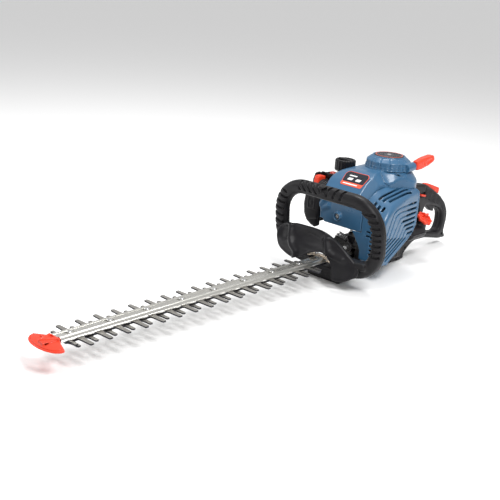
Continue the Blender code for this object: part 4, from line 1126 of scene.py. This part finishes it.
def tooth(y, reach, base, tip):
    """One tooth on the +X side: a wide root that narrows in a curve to a blunt tip."""
    return [(STRIP, y - base), (13.6, y - base * 0.68), (16.5, y - base * 0.50),
            (21, y - base * 0.41), (reach - 1.8, y - tip), (reach, y - tip + 1.6),
            (reach, y + tip - 1.6), (reach - 1.8, y + tip), (21, y + base * 0.41),
            (16.5, y + base * 0.50), (13.6, y + base * 0.68), (STRIP, y + base)]


def blade(name, levels, first, reach, base, tip, short_first=False):
    """A blade plate with teeth on both sides, slots for its bolts and ground edges; its sides and
    chamfers are darkened as painted shade.
    """
    low, high = levels
    left, right = [], []
    for i in range(TOOTH_COUNT):
        length, half = reach, base
        y = first + PITCH * i
        if i == 0 and short_first:
            length, half = STUB_REACH, base / 2
        y = max(y, BLADE_FRONT + half + 0.5)
        points = tooth(y, length, half, min(tip, half * 0.6))
        right += points
        left += [(-x, at) for x, at in points]
    edge = [(-STRIP, BLADE_FRONT), (STRIP, BLADE_FRONT)] + right
    edge += [(STRIP, -190), (SHANK, -178), (SHANK, BLADE_REAR), (-SHANK, BLADE_REAR),
             (-SHANK, -178), (-STRIP, -190)] + left[::-1]
    shape = bmesh.new()
    raise_plate(shape, [(x * MM, y * MM, low * MM) for x, y in edge], (0, 0, (high - low) * MM))
    made = solid(name, shape)
    for one in BLADE_STEEL_AND_SIDE_SHADE:
        made.data.materials.append(MATERIAL[one])
    # Upright faces take the second, near-black finish: painted shade on the blade's sides.
    for polygon in made.data.polygons:
        polygon.material_index = int(abs(polygon.normal.z) < 0.5)
    slots = bmesh.new()
    for y in BOLT_PLACES:
        add_slot(slots, BOLT_X, y, STROKE + 0.3, BOLT_ROOM, low - 1, high + 1)
    cut_away(made, slots)
    grind = made.modifiers.new("ground edge", "BEVEL")
    grind.width = 0.9 * MM
    grind.segments = 1
    grind.limit_method = "ANGLE"
    grind.angle_limit = math.radians(60)
    # The chamfers take that painted shade too.
    grind.material = 1
    apply_modifiers(made)
    place(made, name.removesuffix("_ground"), "blade_steel", BLADE_STEEL_AND_SIDE_SHADE,
          name.removesuffix("_ground"))


def add_slot(shape, x, y, half_length, radius, low, high, sides=8):
    """A closed upright slot shape, to cut with."""
    ring = []
    for end, start in ((-half_length, math.pi), (half_length, 0)):
        for i in range(sides + 1):
            angle = start + math.pi * i / sides
            ring.append((x + radius * math.cos(angle), y + end + radius * math.sin(angle)))
    join_rings(shape, [[shape.verts.new((a * MM, b * MM, z * MM)) for a, b in ring]
                       for z in (low, high)])


def cut_away(obj, shape):
    """Cuts a closed bmesh out of an object, and frees it."""
    tool = solid("cutter", shape)
    boolean = obj.modifiers.new("cut", "BOOLEAN")
    boolean.operation = "DIFFERENCE"
    boolean.object = tool
    boolean.solver = "EXACT"
    apply_modifiers(obj)
    bpy.data.objects.remove(tool)


def apply_modifiers(obj):
    graph = bpy.context.evaluated_depsgraph_get()
    graph.update()
    mesh = bpy.data.meshes.new_from_object(obj.evaluated_get(graph))
    obj.modifiers.clear()
    obj.data = mesh


def blades():
    """The two blades, half a pitch apart."""
    blade("upper_blade_ground", UPPER_LEVELS, FIRST_TOOTH, 43.5, 11.5, 3.9, short_first=True)
    blade("lower_blade_ground", LOWER_LEVELS, FIRST_TOOTH + PITCH / 2, 33.0, 9.0, 3.4)


def guide_bar():
    """The rolled channel over the blades: a lined bolt track, a bright ridge and a side wall."""
    track = []
    for i in range(7):
        x = -11.4 + i * 2.0
        track += [(x, 43.8), (x + 0.9, 43.8), (x + 1.2, 43.45), (x + 1.5, 43.8)]
    ridge = [(3.2, 43.9), (4.2, 46.0)] + [
        (8.6 + 4.4 * math.cos(a), 45.6 + 2.9 * math.sin(a))
        for a in (math.radians(170 - 16 * i) for i in range(11))]
    section = ([(-15, 41.1), (-15, 44.5), (-14.6, 44.9), (-13.2, 44.9), (-12.6, 44.5),
                (-12.2, 43.8)] + track + ridge + [(13.6, 43.6), (14.5, 43.2), (14.5, 41.1)])
    shape = bmesh.new()
    stations = [-806 + 710 * i / 12 for i in range(13)]
    join_rings(shape, [[shape.verts.new((x * MM, y * MM, z * MM)) for x, z in section]
                       for y in stations])
    made = solid("guide_bar_rolled", shape)
    pockets = bmesh.new()
    for y in BOLT_PLACES:
        add_slot(pockets, BOLT_X, y, 4.2, 5.2, 42.6, 60)
        add_slot(pockets, BOLT_X, y, 0.01, 3.4, 38, 43)
    cut_away(made, pockets)
    made.data.shade_smooth()
    made.data.set_sharp_from_angle(angle=math.radians(28))
    place(made, "chassis", "bar_aluminium", "bar_aluminium", "guide_bar")


def blade_bolts():
    """Eight shouldered bolts with their nuts under the blades."""
    shape = bmesh.new()
    profile = [(0.0, 31.8), (4.7, 31.8), (5.2, 32.3), (5.2, 35.3), (3.0, 35.3), (3.0, 43.2),
               (4.5, 43.2), (4.5, 45.6), (3.9, 46.2), (2.4, 46.2), (2.2, 44.4), (0.0, 44.4)]
    circle = [(math.cos(2 * math.pi * i / ROUND_SIDES), math.sin(2 * math.pi * i / ROUND_SIDES))
              for i in range(ROUND_SIDES)]
    for y in BOLT_PLACES:
        rings = [[shape.verts.new(((BOLT_X + radius * c) * MM, (y + radius * s) * MM, z * MM))
                  for c, s in circle] for radius, z in profile]
        join_rings(shape, rings, ends=False)
    bmesh.ops.remove_doubles(shape, verts=shape.verts, dist=0.00001)
    nodes = [f"blade_bolt_{i + 1}" for i in range(len(BOLT_PLACES))]
    place(solid("blade_bolt_set", shape, SHARP), "chassis", "plated_steel", "bright_steel", *nodes)


def tip_guard():
    """The nose piece: a thin-edged fan with two wings, a raised root and pressed-in ridges."""
    g = Grid((-41, -844, 35), (41, -803, 52), 0.6)
    front = [(38.8 * math.sin(a), -820.5 - 19.5 * math.cos(a))
             for a in (math.radians(-84 + 12 * i) for i in range(15))]
    edge = [(-38.6, -817.5), (-22, -812), (-12, -807.4), (12, -807.4), (22, -812), (38.6, -817.5)]
    fan = outline(g.x, g.y, edge + front[::-1])
    fall = np.hypot(g.x * 0.55, g.y + 807)
    crown = g.z - (46.2 - 0.0045 * fall ** 2 - 0.08 * fall)
    body = meet(meet(fan, crown, 1.0), 37.5 - g.z, 1)
    root = meet(outline(g.x, g.y, [(-12, -807.6), (13, -807.6), (6.5, -833), (-7, -831)]),
                g.z - 48.8 - 0.18 * (g.y + 807), 1.2)
    body = melt(body, both(root, 38 - g.z), 1.0)
    ridge = bar(g, (13, -809, 47.2), (-6, -829, 44.6), 1.7)
    far_ridge = bar(g, (-11, -809, 47.2), (-9, -826, 44.8), 1.4)
    body = melt(melt(body, ridge, 1), far_ridge, 1)
    recess = block(g, (-6.5, -815, 45.4), (1.5, -809.5, 60), 0.8)
    press = outline(g.x, g.y, [(-21, -817), (-12, -819), (-12, -831), (-23, -828)])
    press = both(press, 42.2 - g.z)
    line = both(np.abs(fan + 3.4) - 0.7, -(crown + 1.1), g.y + 820)
    pocket = block(g, (-9.3, -830, 41), (9.3, -795, 43.8))
    body = less(soften(body, 1), recess, press, line, pocket)
    mould("tip_fan", g, body, "chassis", "orange_plastic", "tip_guard")


# ---------------------------------------------------------------- CAD nodes that stay

def dress_cad_nodes():
    """Every CAD node that still shows gets the full finish of its record slot."""
    for subpart in frame["record"]["subparts"]:
        shown = NODES[subpart["node"]]
        shown.data.materials.clear()
        shown.data.materials.append(MATERIAL[subpart["material_slot"]])


for make in (camera, studio, dress_cad_nodes, shroud, exhaust_cover, badge, starter_cap,
             starter_disc, starter_grip, starter_line, fuel_tank, fuel_cap, air_cleaner,
             carburettor_housing, primer, choke, front_loop, hand_guard, saddle, rear_handle,
             lockout, trigger, stop_switch, oil_tank, oil_cap, gearcase, keel, linkage, blades,
             guide_bar, blade_bolts, tip_guard):
    make()
